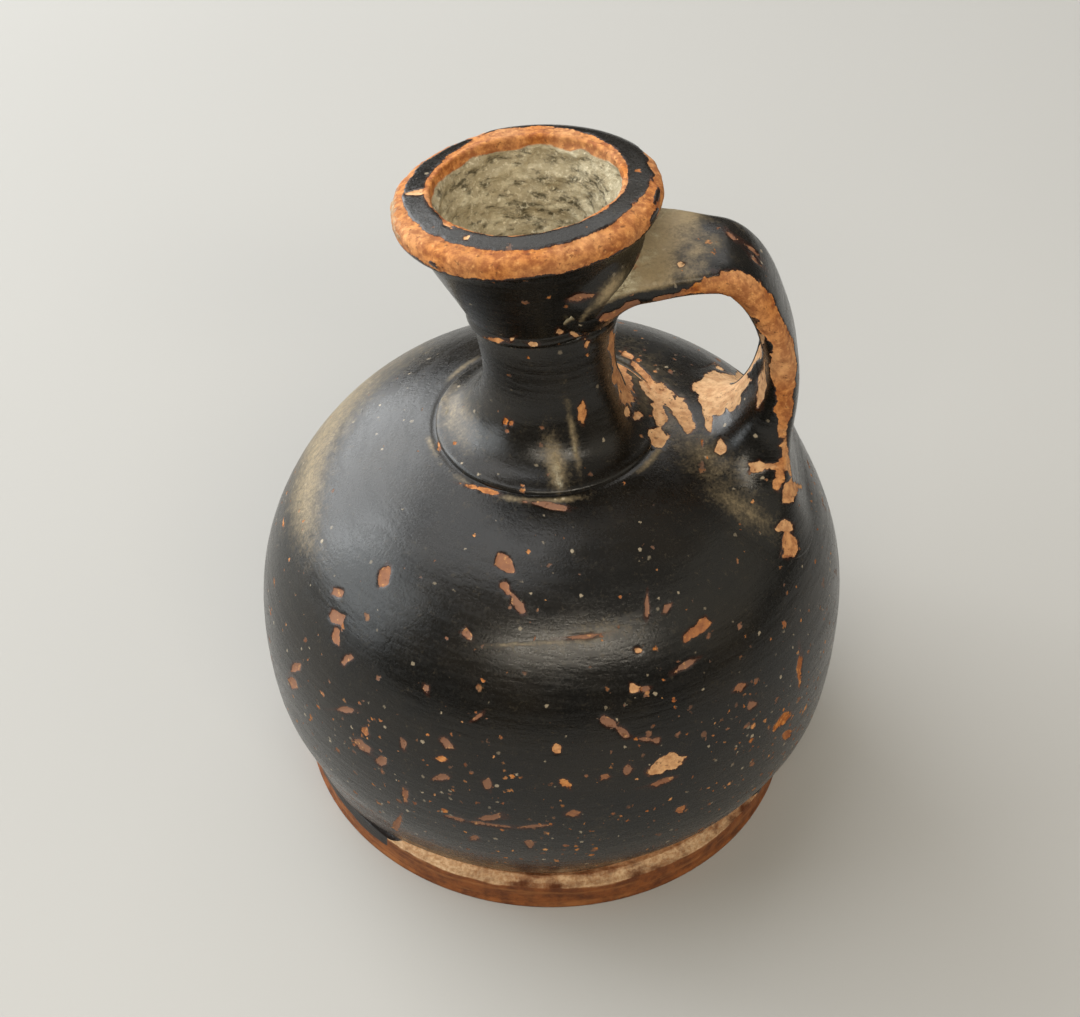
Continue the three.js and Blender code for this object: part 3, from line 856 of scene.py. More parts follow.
def marks(points, normals, flakes, scratches=()):
    """How deep points lie inside a mark, in millimetres and below zero outside, and how pale it is."""
    x, y = to_pixels(points)
    depth = np.full(x.shape, -FAR)
    pale = np.zeros(x.shape)
    wander = unevenness(points, FLAKE_EDGE) + unevenness(points, FLAKE_EDGE_FINE)
    found = []
    for number, flake in enumerate(flakes):
        ragged = FLAKE_RAGGED * min(1, FLAKE_LARGE / flake.short)
        reach = angular(*within(x, y, flake), SEED_EDGE + number) + ragged * wander
        found.append(((1 - reach) * flake.short, flake.pale))
    for scratch in scratches:
        width = scratch.width * (1 + unevenness(points, SCRATCH_EDGE))
        found.append((width - line_distance(x, y, scratch.points), scratch.pale))
    for inside, paleness in found:
        deeper = inside * PIXEL > depth
        depth = np.where(deeper, inside * PIXEL, depth)
        pale = np.where(deeper, paleness, pale)
    return np.where(facing(points, normals) > FACING, depth, -FAR), pale


def slip_lost(flake):
    """How far the surface drops where the slip has flaked off."""
    return -FLAKE_DEPTH * smooth_step(flake, *FLAKE_LIMITS)


def patches(points, normals, dusts):
    """How strongly each point lies in soft patches, from 0 to 1. The patches hold dust, crust, specks and
    painted sheen.
    """
    x, y = to_pixels(points)
    total = np.zeros(x.shape)
    for dust in dusts:
        along, across = within(x, y, dust)
        total = np.maximum(total, dust.pale * bell(np.hypot(along, across), 1))
    return total * seen(points, normals)


# Meshes

def add_object(name, data):
    thing = bpy.data.objects.new(name, data)
    bpy.context.scene.collection.objects.link(thing)
    return thing


def add_piece(name, node, material, grid, looped, fields):
    """A piece from rings of points. Its ends are joined to each other if it is looped, and else closed."""
    rings, sides = grid.shape[:2]
    index = np.arange(rings * sides).reshape(rings, sides)
    lower = index if looped else index[:-1]
    upper = np.roll(index, -1, axis=0) if looped else index[1:]
    quads = [lower, np.roll(lower, -1, axis=1), np.roll(upper, -1, axis=1), upper]
    faces = np.stack(quads, axis=2).reshape(-1, 4).tolist()
    points = grid.reshape(-1, 3)
    columns = {key: np.broadcast_to(value, (rings, sides)).reshape(-1) for key, value in fields.items()}

    # A map of the surface: round the piece one way, along its outline the other
    step = np.linalg.norm(np.roll(grid[:, 0], -1, axis=0) - grid[:, 0], axis=1)
    step = step if looped else step[:-1]
    edge = np.concatenate([[0], np.cumsum(step)]) / step.sum()
    across = np.arange(sides + 1) / sides
    low_u, low_v = np.meshgrid(across[:-1], edge[:-1])
    high_u, high_v = np.meshgrid(across[1:], edge[1:])
    corners = np.stack([low_u, low_v, high_u, low_v, high_u, high_v, low_u, high_v], axis=2).reshape(-1, 2)

    if not looped:
        centres = np.array([grid[0].mean(axis=0), grid[-1].mean(axis=0)])
        points = np.vstack([points, centres])
        columns = {
            key: np.concatenate([value, [value[0], value[-1]]])
            for key, value in columns.items()
        }
        first, last = rings * sides, rings * sides + 1
        for side in range(sides):
            after = (side + 1) % sides
            faces.append([first, index[0, after], index[0, side]])
            faces.append([last, index[-1, side], index[-1, after]])
        middle = (across[:-1] + across[1:]) / 2
        bottom = np.zeros(sides)
        top = np.ones(sides)
        low = np.stack([middle, bottom, across[1:], bottom, across[:-1], bottom], axis=1)
        high = np.stack([middle, top, across[:-1], top, across[1:], top], axis=1)
        corners = np.vstack([corners, np.stack([low, high], axis=1).reshape(-1, 2)])

    mesh = bpy.data.meshes.new(name)
    mesh.from_pydata((points * MM).tolist(), [], faces)
    mesh.polygons.foreach_set("use_smooth", np.ones(len(faces), bool))
    layer = mesh.uv_layers.new(name="OFBake")
    layer.uv.foreach_set("vector", corners.astype(np.float32).ravel())
    for key, value in columns.items():
        attribute = mesh.attributes.new(key, "FLOAT", "POINT")
        attribute.data.foreach_set("value", value.astype(np.float32))
    mesh.materials.append(material)
    piece = add_object(name, mesh)
    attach(piece, "root")
    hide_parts(node)


# Materials

def colour(code):
    """A colour from its six-digit screen code."""
    parts = [int(code[start:start + 2], 16) / 255 for start in (0, 2, 4)]
    return (*[part / 12.92 if part <= 0.04045 else ((part + 0.055) / 1.055) ** 2.4 for part in parts], 1)


class Finish:
    """One material and the nodes that make it."""

    def __init__(self, name):
        self.material = bpy.data.materials.new(name)
        self.material.use_nodes = True
        self.tree = self.material.node_tree
        self.surface = self.tree.nodes["Principled BSDF"]
        self.place = self.add("ShaderNodeTexCoord").outputs["Object"]

    def add(self, kind, **settings):
        node = self.tree.nodes.new(kind)
        for key, value in settings.items():
            setattr(node, key, value)
        return node

    def feed(self, socket, value):
        """Link a socket to an output, or set it to a number, a vector or a colour code."""
        if isinstance(value, bpy.types.NodeSocket):
            self.tree.links.new(value, socket)
        else:
            socket.default_value = colour(value) if isinstance(value, str) else value

    def show(self, key, value):
        self.feed(self.surface.inputs[key], value)

    def field(self, name):
        return self.add("ShaderNodeAttribute", attribute_name=name).outputs["Fac"]

    def texture(self, kind, spacing, place):
        node = self.add(kind)
        self.feed(node.inputs["Vector"], place)
        node.inputs["Scale"].default_value = 1 / (spacing * MM)
        return node

    def noise(self, texture, place=None):
        spacing, detail, roughness = texture
        node = self.texture("ShaderNodeTexNoise", spacing, place or self.place)
        node.inputs["Detail"].default_value = detail
        node.inputs["Roughness"].default_value = roughness
        return node.outputs["Fac"]

    def vector(self, operation, first, key, second):
        node = self.add("ShaderNodeVectorMath", operation=operation)
        self.feed(node.inputs[0], first)
        self.feed(node.inputs[key], second)
        return node.outputs[0]

    def shaken(self, spacing, amount):
        """The place on the piece, shaken a little, so that what reads it has uneven edges."""
        node = self.texture("ShaderNodeTexNoise", spacing, self.place)
        centred = self.vector("SUBTRACT", node.outputs["Color"], 1, (0.5, 0.5, 0.5))
        return self.vector("ADD", self.place, 1, self.vector("SCALE", centred, "Scale", amount * MM))

    def stretched(self, place, turn, scale):
        node = self.add("ShaderNodeMapping")
        self.feed(node.inputs["Vector"], place)
        node.inputs["Rotation"].default_value = turn
        node.inputs["Scale"].default_value = scale
        return node.outputs["Vector"]

    def cells(self, spacing, place):
        """Distance to the middle of a random cell, in cells, and that cell's three random values."""
        node = self.texture("ShaderNodeTexVoronoi", spacing, place)
        split = self.add("ShaderNodeSeparateColor")
        self.feed(split.inputs["Color"], node.outputs["Color"])
        return node.outputs["Distance"], split.outputs["Red"], split.outputs["Green"], split.outputs["Blue"]

    def math(self, operation, *values):
        node = self.add("ShaderNodeMath", operation=operation)
        for socket, value in zip(node.inputs, values):
            self.feed(socket, value)
        return node.outputs[0]

    def plus(self, first, second):
        return self.math("ADD", first, second)

    def times(self, first, second):
        return self.math("MULTIPLY", first, second)

    def most(self, first, second):
        return self.math("MAXIMUM", first, second)

    def centred(self, value, amount):
        """Noise made to run evenly to both sides of zero."""
        return self.times(self.math("SUBTRACT", value, 0.5), amount)

    def rising(self, value, low, high, start=0.0, end=1.0):
        node = self.add("ShaderNodeMapRange", interpolation_type="SMOOTHSTEP")
        self.feed(node.inputs["Value"], value)
        for key, number in (("From Min", low), ("From Max", high), ("To Min", start), ("To Max", end)):
            self.feed(node.inputs[key], number)
        return node.outputs["Result"]

    def mix(self, share, first, second):
        node = self.add("ShaderNodeMix", data_type="RGBA")
        sockets = {socket.identifier: socket for socket in node.inputs}
        self.feed(sockets["Factor_Float"], share)
        self.feed(sockets["A_Color"], first)
        self.feed(sockets["B_Color"], second)
        return next(socket for socket in node.outputs if socket.identifier == "Result_Color")

    def blend(self, share, first, second):
        """Like mix, for numbers."""
        node = self.add("ShaderNodeMix", data_type="FLOAT")
        self.feed(node.inputs["Factor"], share)
        self.feed(node.inputs["A"], first)
        self.feed(node.inputs["B"], second)
        return node.outputs["Result"]

    def relief(self, height):
        """Bump from a height in millimetres."""
        node = self.add("ShaderNodeBump")
        node.inputs["Distance"].default_value = MM
        self.feed(node.inputs["Height"], height)
        self.show("Normal", node.outputs["Normal"])


def specks(finish, kind, place, density):
    """Small round losses, as a mask and a random number for each."""
    distance, chance, size, tint = finish.cells(kind.spacing, place)
    radius = finish.rising(size, 0, 1, kind.smallest / kind.spacing, kind.largest / kind.spacing)
    inside = finish.rising(finish.math("SUBTRACT", radius, distance), -SPECK_SOFT, SPECK_SOFT)
    present = finish.math("LESS_THAN", chance, finish.math("MULTIPLY_ADD", density, kind.share, kind.least))
    strength = finish.rising(tint, *SPECK_STRENGTH)
    return finish.times(finish.times(inside, present), strength), tint


def clay_colour(finish, pale):
    """Mottled fired clay, from red-brown at -1 through orange at 0 to cream at 1."""
    mottle = finish.rising(finish.noise(CLAY_MOTTLE), *MOTTLED)
    orange = finish.mix(mottle, *CLAY_ORANGE)
    cream = finish.mix(mottle, *CLAY_CREAM)
    clay = finish.mix(finish.most(pale, 0.0), orange, cream)
    clay = finish.mix(finish.most(finish.times(pale, -1.0), 0.0), clay, CLAY_RED)
    flecks = finish.rising(finish.noise(CLAY_FLECKS), *FLECKED)
    pits = finish.rising(finish.noise(CLAY_PITS), *PITTED)
    return finish.mix(pits, finish.mix(flecks, clay, CLAY_FLECK), CLAY_PIT)


def worn_gloss():
    """Black gloss slip that is worn, flaked and crusted as the piece's fields say, with painted sheen and
    painted reflections where the fields carry them.
    """
    finish = Finish("worn_black_gloss")
    grain = finish.noise(GRAIN)

    flake = finish.plus(finish.field("flake"), finish.centred(finish.noise(FLAKE_RIM), FLAKE_SHIFT))
    flaked = finish.rising(flake, *FLAKED)
    thinned = finish.rising(flake, *THINNED)

    density = finish.field("specks")
    shaken = finish.shaken(*SPECK_SHAKE)
    dots, dot_tint = specks(finish, DOTS, shaken, density)
    fine, fine_tint = specks(finish, FINE_DOTS, finish.stretched(shaken, FINE_TURN, EVEN), density)
    dashes, _ = specks(finish, DASHES, finish.stretched(shaken, DASH_TURN, LONG_DASHES), density)
    dust, _ = specks(finish, DUST_DOTS, finish.shaken(*DUST_SHAKE), density)
    lost = finish.most(finish.most(dots, dashes), finish.most(fine, flaked))

    tint = finish.rising(finish.most(dot_tint, fine_tint), *SPECK_PALE)
    clay = clay_colour(finish, finish.blend(flaked, tint, finish.field("pale")))

    black = finish.mix(finish.rising(finish.noise(CLOUDS), *CLOUDED), *SLIP_BLACK)
    # Olive film and dust on the slip, with painted sheen and painted reflections, all in the film colours
    film_and_sheen = finish.field("film_and_sheen")
    flaky = finish.centred(finish.noise(FLAKINESS), FILM_SHIFT)
    flaky = finish.plus(flaky, finish.centred(grain, FILM_GRAIN_SHIFT))
    film_share = finish.rising(finish.plus(film_and_sheen, flaky), *FILMED)
    slip = finish.mix(film_share, black, finish.mix(grain, *SLIP_FILM_AND_SHEEN))
    slip = finish.mix(thinned, slip, SLIP_THIN)
    slip = finish.mix(finish.times(dust, DUST_STRENGTH), slip, SLIP_DUST)
    ground = finish.mix(lost, slip, clay)

    layered = finish.stretched(finish.place, NO_TURN, CRUST_SQUEEZE)
    lumps = finish.noise(CRUST_LUMPS, layered)
    crumbs = finish.noise(CRUST_CRUMBS)
    crusted = finish.plus(finish.field("crust"), finish.centred(lumps, CRUST_SHIFT))
    crusted = finish.rising(crusted, *CRUSTED)
    crust = finish.mix(finish.rising(lumps, *LUMPY), *CRUST_BASE)
    streaks = finish.rising(finish.noise(CRUST_STREAKS, layered), *STREAKED)
    crust = finish.mix(streaks, crust, CRUST_STREAK)
    crust = finish.mix(finish.rising(crumbs, *CRUMBLED), crust, CRUST_CRUMB)
    finish.show("Base Color", finish.mix(crusted, ground, crust))

    wheel = finish.noise(WHEEL_LINES, finish.stretched(finish.place, NO_TURN, WHEEL_SQUEEZE))
    gloss = finish.rising(grain, *GLOSS_ROUGHNESS)
    gloss = finish.plus(gloss, finish.centred(wheel, WHEEL_ROUGHNESS))
    gloss = finish.blend(film_and_sheen, gloss, FILM_ROUGHNESS)
    finish.show("Roughness", finish.blend(finish.most(lost, crusted), gloss, WORN_ROUGHNESS))
    finish.show("Specular IOR Level", GLOSS_SPECULAR)

    height = finish.times(finish.times(crumbs, crusted), CRUMB_BUMP)
    bumps = ((grain, GRAIN_BUMP), (finish.noise(WAVES), WAVE_BUMP), (wheel, WHEEL_BUMP), (lost, LOST_BUMP))
    for texture, amount in bumps:
        height = finish.math("MULTIPLY_ADD", texture, amount, height)
    finish.relief(height)
    return finish.material


def bare_clay():
    """The foot's clay: dusty cream on the ledge, orange-brown below, with remains of slip."""
    finish = Finish("bare_dusty_clay")
    lines = finish.noise(FOOT_LINES, finish.stretched(finish.place, NO_TURN, FOOT_SQUEEZE))
    mottle = finish.noise(FOOT_MOTTLE)
    grit = finish.noise(FOOT_GRIT)
    brown = finish.mix(finish.rising(mottle, *FOOT_MOTTLED), *FOOT_BROWN)
    brown = finish.mix(finish.rising(lines, *FOOT_LINED), brown, FOOT_LINE)
    cream = finish.mix(finish.rising(grit, *FOOT_GRITTY), *FOOT_DUST)
    dust = finish.plus(finish.field("dust"), finish.centred(mottle, FOOT_DUST_SHIFT))
    dust = finish.plus(dust, finish.centred(lines, FOOT_LINE_SHIFT))
    clay = finish.mix(finish.rising(dust, *FOOT_DUSTY), brown, cream)
    glaze = finish.plus(finish.field("glaze"), finish.centred(mottle, FOOT_GLAZE_SHIFT))
    glazed = finish.rising(glaze, *FOOT_GLAZED)
    finish.show("Base Color", finish.mix(glazed, clay, FOOT_SLIP))
    finish.show("Roughness", finish.blend(glazed, FOOT_ROUGHNESS, FOOT_SLIP_ROUGHNESS))
    finish.relief(finish.times(finish.plus(lines, grit), FOOT_BUMP))
    return finish.material


def floor_finish():
    """A plain pale studio floor."""
    finish = Finish("pale_floor")
    finish.show("Base Color", finish.mix(finish.noise(FLOOR_CLOUDS), *FLOOR_GREY))
    finish.show("Roughness", FLOOR_ROUGHNESS)
    finish.show("Specular IOR Level", FLOOR_SPECULAR)
    return finish.material


# Outlines of the pieces

def corner(start, turn, end):
    """A small rounded edge."""
    return bezier(start, turn, turn, end, CORNER_STEPS)


def foot_outline():
    inner = (foot_seat_inner + FOOT_INNER_FLARE, 0)
    lower = corner((FOOT_RADIUS - FOOT_EDGE_ROUND, 0), (FOOT_RADIUS, 0), (FOOT_RADIUS, FOOT_EDGE_ROUND))
    upper = corner(
        (FOOT_RADIUS, ledge_edge_height - FOOT_EDGE_ROUND),
        (FOOT_RADIUS, ledge_edge_height),
        (FOOT_RADIUS - FOOT_EDGE_ROUND, ledge_edge_height),
    )
    seat = [(foot_seat_outer, FOOT_HEIGHT), (foot_seat_inner, foot_seat_inner_height)]
    return evenly(chained(inner, lower, upper, seat, inner), SPACING)[:-1]


def shoulder_outline():
    """The body's outside, from the foot to the groove round the neck."""
    lower = bezier(
        (foot_seat_outer, FOOT_HEIGHT),
        (foot_seat_outer + LOWER_FLARE, FOOT_HEIGHT + LOWER_RISE),
        (BELLY_RADIUS, BELLY_HEIGHT - LOWER_SWELL),
        (BELLY_RADIUS, BELLY_HEIGHT),
    )
    upper = bezier(
        (BELLY_RADIUS, BELLY_HEIGHT),
        (BELLY_RADIUS, BELLY_HEIGHT + UPPER_SWELL),
        (
            SHOULDER_RADIUS + SHOULDER_REACH * math.cos(SHOULDER_SLOPE),
            SHOULDER_HEIGHT - SHOULDER_REACH * math.sin(SHOULDER_SLOPE),
        ),
        (SHOULDER_RADIUS, SHOULDER_HEIGHT),
    )
    return chained(lower, upper)


body_outside = shoulder_outline()


def body_outline():
    """The whole body: underside, outside, hole under the neck, inside and floor."""
    under = [(COARSE_SPACING, foot_seat_inner_height), (foot_seat_inner, foot_seat_inner_height)]
    hole_rise = (SHOULDER_RADIUS - NECK_BORE_RADIUS) * math.tan(SHOULDER_SLOPE)
    hole = (NECK_BORE_RADIUS, SHOULDER_HEIGHT + hole_rise)
    inside = grown(body_outside, -BODY_WALL)
    floor_height = foot_seat_inner_height + BODY_FLOOR
    inside = inside[inside[:, 1] > floor_height][::-1]
    floor = [(inside[-1][0] - BODY_WALL, floor_height), (COARSE_SPACING, floor_height)]
    below = evenly(chained(under, body_outside[0]), COARSE_SPACING)
    outside = evenly(body_outside, BODY_SPACING)
    neck_bed = evenly(chained(outside[-1], hole), SPACING)
    hidden = evenly(chained(hole, inside, floor), COARSE_SPACING)
    return chained(below, outside, neck_bed, hidden)


def neck_outline():
    waist = (NECK_RADIUS, NECK_WAIST_HEIGHT)
    flare = bezier(
        (SHOULDER_RADIUS, NECK_BASE_EDGE),
        (SHOULDER_RADIUS - NECK_FLARE_RUN, NECK_BASE_EDGE + NECK_FLARE_LIFT),
        (NECK_RADIUS, NECK_WAIST_HEIGHT - NECK_FLARE_UPRIGHT),
        waist,
    )
    rise = bezier(
        waist,
        (NECK_RADIUS, NECK_WAIST_HEIGHT + NECK_RISE),
        (NECK_TOP_RADIUS, NECK_HEIGHT - NECK_RISE),
        (NECK_TOP_RADIUS, NECK_HEIGHT),
    )
    edge = corner(
        (SHOULDER_RADIUS, NECK_BASE_EDGE - NECK_BASE_ROUND),
        (SHOULDER_RADIUS, NECK_BASE_EDGE),
        flare[NECK_BASE_BLEND],
    )
    bottom = [(NECK_BORE_RADIUS, -NECK_BASE_DEPTH), (SHOULDER_RADIUS, -NECK_BASE_DEPTH)]
    return chained(bottom, edge, flare[NECK_BASE_BLEND + 1:], rise)


def mouth_outline():
    lip_bottom = MOUTH_HEIGHT - LIP_HEIGHT
    face_edge = (LIP_FACE_RADIUS, MOUTH_HEIGHT - LIP_TOP_FALL)
    widest = (LIP_RADIUS, MOUTH_HEIGHT - LIP_WIDEST_DROP)
    ridge = corner(
        (MOUTH_RIDGE_RADIUS - MOUTH_RIDGE_DEPTH, 0),
        (MOUTH_RIDGE_RADIUS + MOUTH_RIDGE_DEPTH, MOUTH_RIDGE_HEIGHT / 2),
        (MOUTH_RIDGE_RADIUS - MOUTH_RIDGE_DEPTH, MOUTH_RIDGE_HEIGHT),
    )
    under_lip = bezier(
        (MOUTH_FLARE_RADIUS, lip_bottom - LIP_UNDERCUT),
        (MOUTH_FLARE_RADIUS + LIP_UNDERSIDE, lip_bottom),
        (LIP_RADIUS, lip_bottom),
        widest,
    )
    over_lip = bezier(
        widest,
        (LIP_RADIUS, widest[1] + LIP_EDGE_ROUND),
        (LIP_FACE_RADIUS + LIP_EDGE_ROUND, face_edge[1] - LIP_EDGE_FALL),
        face_edge,
    )
    hole = corner(
        (LIP_HOLE_RADIUS + LIP_HOLE_ROUND, MOUTH_HEIGHT),
        (LIP_HOLE_RADIUS, MOUTH_HEIGHT),
        (LIP_HOLE_RADIUS, MOUTH_HEIGHT - LIP_HOLE_ROUND),
    )
    taper = bezier(
        hole[-1],
        (MOUTH_FLARE_RADIUS - MOUTH_WALL, lip_bottom),
        (NECK_BORE_RADIUS + MOUTH_THROAT_SPREAD, MOUTH_THROAT_HEIGHT),
        (NECK_BORE_RADIUS, 0),
    )
    return chained(ridge, under_lip, over_lip, hole, taper)


# Places: how the soft clay settled and leaned

def settled(points):
    share = smooth_step(points[..., 2], BELLY_HEIGHT, SHOULDER_HEIGHT)
    lift = math.tan(SHOULDER_TILT) * points[..., 0] * share
    return points + lift[..., None] * np.array([0, 0, 1])


LEAN = np.array([math.cos(NECK_BEND_BEARING), math.sin(NECK_BEND_BEARING), 0])
NECK_TILT = np.array([
    [math.cos(SHOULDER_TILT), 0, -math.sin(SHOULDER_TILT)],
    [0, 1, 0],
    [math.sin(SHOULDER_TILT), 0, math.cos(SHOULDER_TILT)],
])


def leaned(points):
    """Points of a straight neck and mouth, with heights from the shoulder, put on the bent neck."""
    height = points[..., 2]
    share = np.clip(height / NECK_HEIGHT, 0, 1)
    angle = NECK_BEND * share
    arc = NECK_HEIGHT / NECK_BEND
    beyond = height - NECK_HEIGHT * share
    side = points @ LEAN
    sideways = side * np.cos(angle) + arc * (1 - np.cos(angle)) + beyond * np.sin(angle)
    upwards = -side * np.sin(angle) + arc * np.sin(angle) + beyond * np.cos(angle)
    flat = points * np.array([1, 1, 0]) - side[..., None] * LEAN
    bent = flat + sideways[..., None] * LEAN + upwards[..., None] * np.array([0, 0, 1])
    return bent @ NECK_TILT.T + NECK_BASE


def mouth_radius_height(points):
    """Radius and height of points of the flask in the mouth's own frame."""
    local = (points - NECK_BASE) @ NECK_TILT
    arc = NECK_HEIGHT / NECK_BEND
    side = local @ LEAN - arc * (1 - math.cos(NECK_BEND))
    rise = local[..., 2] - arc * math.sin(NECK_BEND)
    flat = local * np.array([1, 1, 0]) - (local @ LEAN)[..., None] * LEAN
    along = side * math.cos(NECK_BEND) - rise * math.sin(NECK_BEND)
    height = side * math.sin(NECK_BEND) + rise * math.cos(NECK_BEND)
    return np.hypot(np.linalg.norm(flat, axis=-1), along), height


def outline_distance(radius, height, outline):
    """Distance from an outline that runs upwards on the outside, below zero inside it."""
    spots = np.stack([radius.ravel(), height.ravel()], axis=1)
    squares = ((spots[:, None, :] - outline[None, :, :]) ** 2).sum(axis=2)
    nearest = squares.argmin(axis=1)
    return ((spots - outline[nearest]) * outwards(outline)[nearest]).sum(axis=1).reshape(radius.shape)


def blend(distance, reach):
    """How far clay is smoothed out at a distance from the piece that it runs into.

    It is thickest at that piece, at a third of the reach, and runs out just inside the reach.
    """
    share = np.clip(np.hypot(distance / reach, 1 / 3), 0, 1)
    return 3 / 4 * reach * (1 - share) ** 2


def body_distance(points):
    lowered = 2 * points - settled(points)
    radius = np.hypot(lowered[..., 0], lowered[..., 1])
    return outline_distance(radius, lowered[..., 2], evenly(body_outside, BODY_NEAREST))


def body_swell(points):
    """How far the hand-made body stands out from its even outline."""
    flat_height = 2 * points[..., 2] - settled(points)[..., 2]
    bearing = bearings(points)
    swell = unevenness(points, BODY_LUMPS) + unevenness(points, BODY_LUMPS_FINE)
    for middle, spread, height, rise, amount in FULLNESS:
        swell += amount * bell(turn_from(bearing, middle), spread) * bell(flat_height - height, rise)
    overhang = sum(amount * bell(turn_from(bearing, middle), spread) for middle, spread, amount in OVERHANG)
    above_foot = smooth_step(flat_height, FOOT_HEIGHT, FOOT_HEIGHT + OVERHANG_RISE)
    return swell * above_foot + overhang * (1 - above_foot)


def mouth_distance(points):
    neck = [(NECK_RADIUS, NECK_WAIST_HEIGHT - NECK_HEIGHT), (NECK_TOP_RADIUS, -MOUTH_RIDGE_BELOW)]
    cone = [(MOUTH_RIDGE_RADIUS, MOUTH_RIDGE_HEIGHT), (MOUTH_FLARE_RADIUS, MOUTH_HEIGHT - LIP_HEIGHT)]
    radius, height = mouth_radius_height(points)
    return outline_distance(radius, height, evenly(chained(neck, cone), MOUTH_NEAREST))


Strap = namedtuple("Strap", "line along outward share half_width outer_thick inner_thick")


def strap_line():
    """The middle of the handle's strap, as rows of X and Z."""
    ridge = leaned(np.array([0, 0, float(NECK_HEIGHT)]))
    crest_height = ridge[2] + HANDLE_CREST_RISE
    start = ridge[0] + MOUTH_RIDGE_RADIUS - HANDLE_SINK
    start_angle = math.acos((start - HANDLE_CREST_RADIUS) / HANDLE_CLIMB_RUN)
    angle = np.linspace(start_angle, math.pi / 2, STRAP_ARC_STEPS)
    climb = np.stack([
        HANDLE_CREST_RADIUS + HANDLE_CLIMB_RUN * np.cos(angle),
        crest_height - HANDLE_CLIMB + HANDLE_CLIMB * np.sin(angle),
    ], axis=1)
    side_height = crest_height - HANDLE_DROP
    angle = np.linspace(math.pi / 2, 0, STRAP_ARC_STEPS)
    fall = np.stack([
        HANDLE_CREST_RADIUS + (HANDLE_REACH - HANDLE_CREST_RADIUS) * np.cos(angle),
        side_height + HANDLE_DROP * np.sin(angle),
    ], axis=1)
    above = body_outside[:, 1] > BELLY_HEIGHT
    shoulder = np.interp(-HANDLE_FOOT_RADIUS, -body_outside[above][:, 0], body_outside[above][:, 1])
    foot_height = settled(np.array([HANDLE_FOOT_RADIUS, 0, shoulder]))[2] - HANDLE_SINK
    share = np.linspace(0, 1, STRAP_FOOT_STEPS)[:, None]
    end = np.array([HANDLE_FOOT_RADIUS, foot_height])
    pull = np.array([HANDLE_REACH, (side_height + foot_height) / 2])
    down = (1 - share) ** 2 * fall[-1] + 2 * share * (1 - share) * pull + share**2 * end
    return chained(climb, fall, down)


def eased(values, reach):
    """The same values with their corners smoothed."""
    window = np.ones(2 * reach + 1) / (2 * reach + 1)
    for _ in range(STRAP_EASING_PASSES):
        values = np.convolve(np.pad(values, reach, mode="edge"), window, "valid")
    return values


def make_strap():
    line = strap_line()
    length = np.linalg.norm(np.diff(line, axis=0), axis=1).sum()
    line = evenly(line, length / HANDLE_STEPS)
    along = unit(np.gradient(line, axis=0))
    share = np.linspace(0, 1, len(line))
    thick = smooth_step(share, THICKENING_START, THICKENING_END)
    spread = smooth_step(share, THICKENING_END, 1)
    half_width = (HANDLE_WIDTH + (HANDLE_FOOT_WIDTH - HANDLE_WIDTH) * spread) / 2
    half_thick = (HANDLE_THICKNESS_TOP + (HANDLE_THICKNESS_ROOT - HANDLE_THICKNESS_TOP) * thick) / 2
    shares, outside, inside = zip(*HANDLE_SHAPE)
    outer_thick = half_thick + eased(np.interp(share, shares, outside), STRAP_EASING)
    inner_thick = half_thick + eased(np.interp(share, shares, inside), STRAP_EASING)
    return Strap(line, along, -outwards(line), share, half_width, outer_thick, inner_thick)


strap = make_strap()


def strap_distance(points):
    """Distance from the handle's strap, taken as a bent bar."""
    low, high = [np.array(point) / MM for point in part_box("handle")]
    close = np.all((points > low - MOUTH_BLEND) & (points < high + MOUTH_BLEND), axis=-1)
    spots = points[close]
    bar = Strap(*[column[::STRAP_STRIDE] for column in strap])
    offsets = spots[:, None, ::2] - bar.line[None, :, :]
    nearest = (offsets**2).sum(axis=2).argmin(axis=1)
    beside = offsets[np.arange(len(spots)), nearest]
    past = (beside * bar.along[nearest]).sum(axis=1)
    out = (beside * bar.outward[nearest]).sum(axis=1)
    past_face = np.maximum(out - bar.outer_thick[nearest], -out - bar.inner_thick[nearest])
    past_face = np.maximum(past_face, 0)
    past_edge = np.maximum(np.abs(spots[:, 1]) - bar.half_width[nearest], 0)
    distance = np.full(points.shape[:-1], np.inf)
    distance[close] = np.sqrt(past_face**2 + past_edge**2 + past**2)
    return distance


def buried(points):
    """The strap's points, with its upper end kept just inside the wall of the mouth and neck."""
    radius, height = mouth_radius_height(points)
    heights = [NECK_WAIST_HEIGHT - NECK_HEIGHT, 0, MOUTH_HEIGHT - LIP_HEIGHT]
    radii = np.array([NECK_RADIUS, MOUTH_RIDGE_RADIUS, MOUTH_FLARE_RADIUS]) - HANDLE_BURIED
    least = np.interp(height, heights, radii)
    axis = leaned(np.stack([0 * height, 0 * height, NECK_HEIGHT + height], axis=-1))
    pushed = axis + (points - axis) * (least / np.maximum(radius, AXIS_GUARD))[..., None]
    return np.where(((radius < least) & (height > heights[0]))[..., None], pushed, points)


def along_strap(share, values):
    return np.interp(share, strap.share, values)


def strap_section(share, across_share, out_share):
    """Where points of the strap's section lie across it and outwards from its middle line."""
    outer = along_strap(share, strap.outer_thick)
    inner = along_strap(share, strap.inner_thick)
    thick = np.where(out_share > 0, outer, inner)
    return along_strap(share, strap.half_width) * across_share, thick * out_share


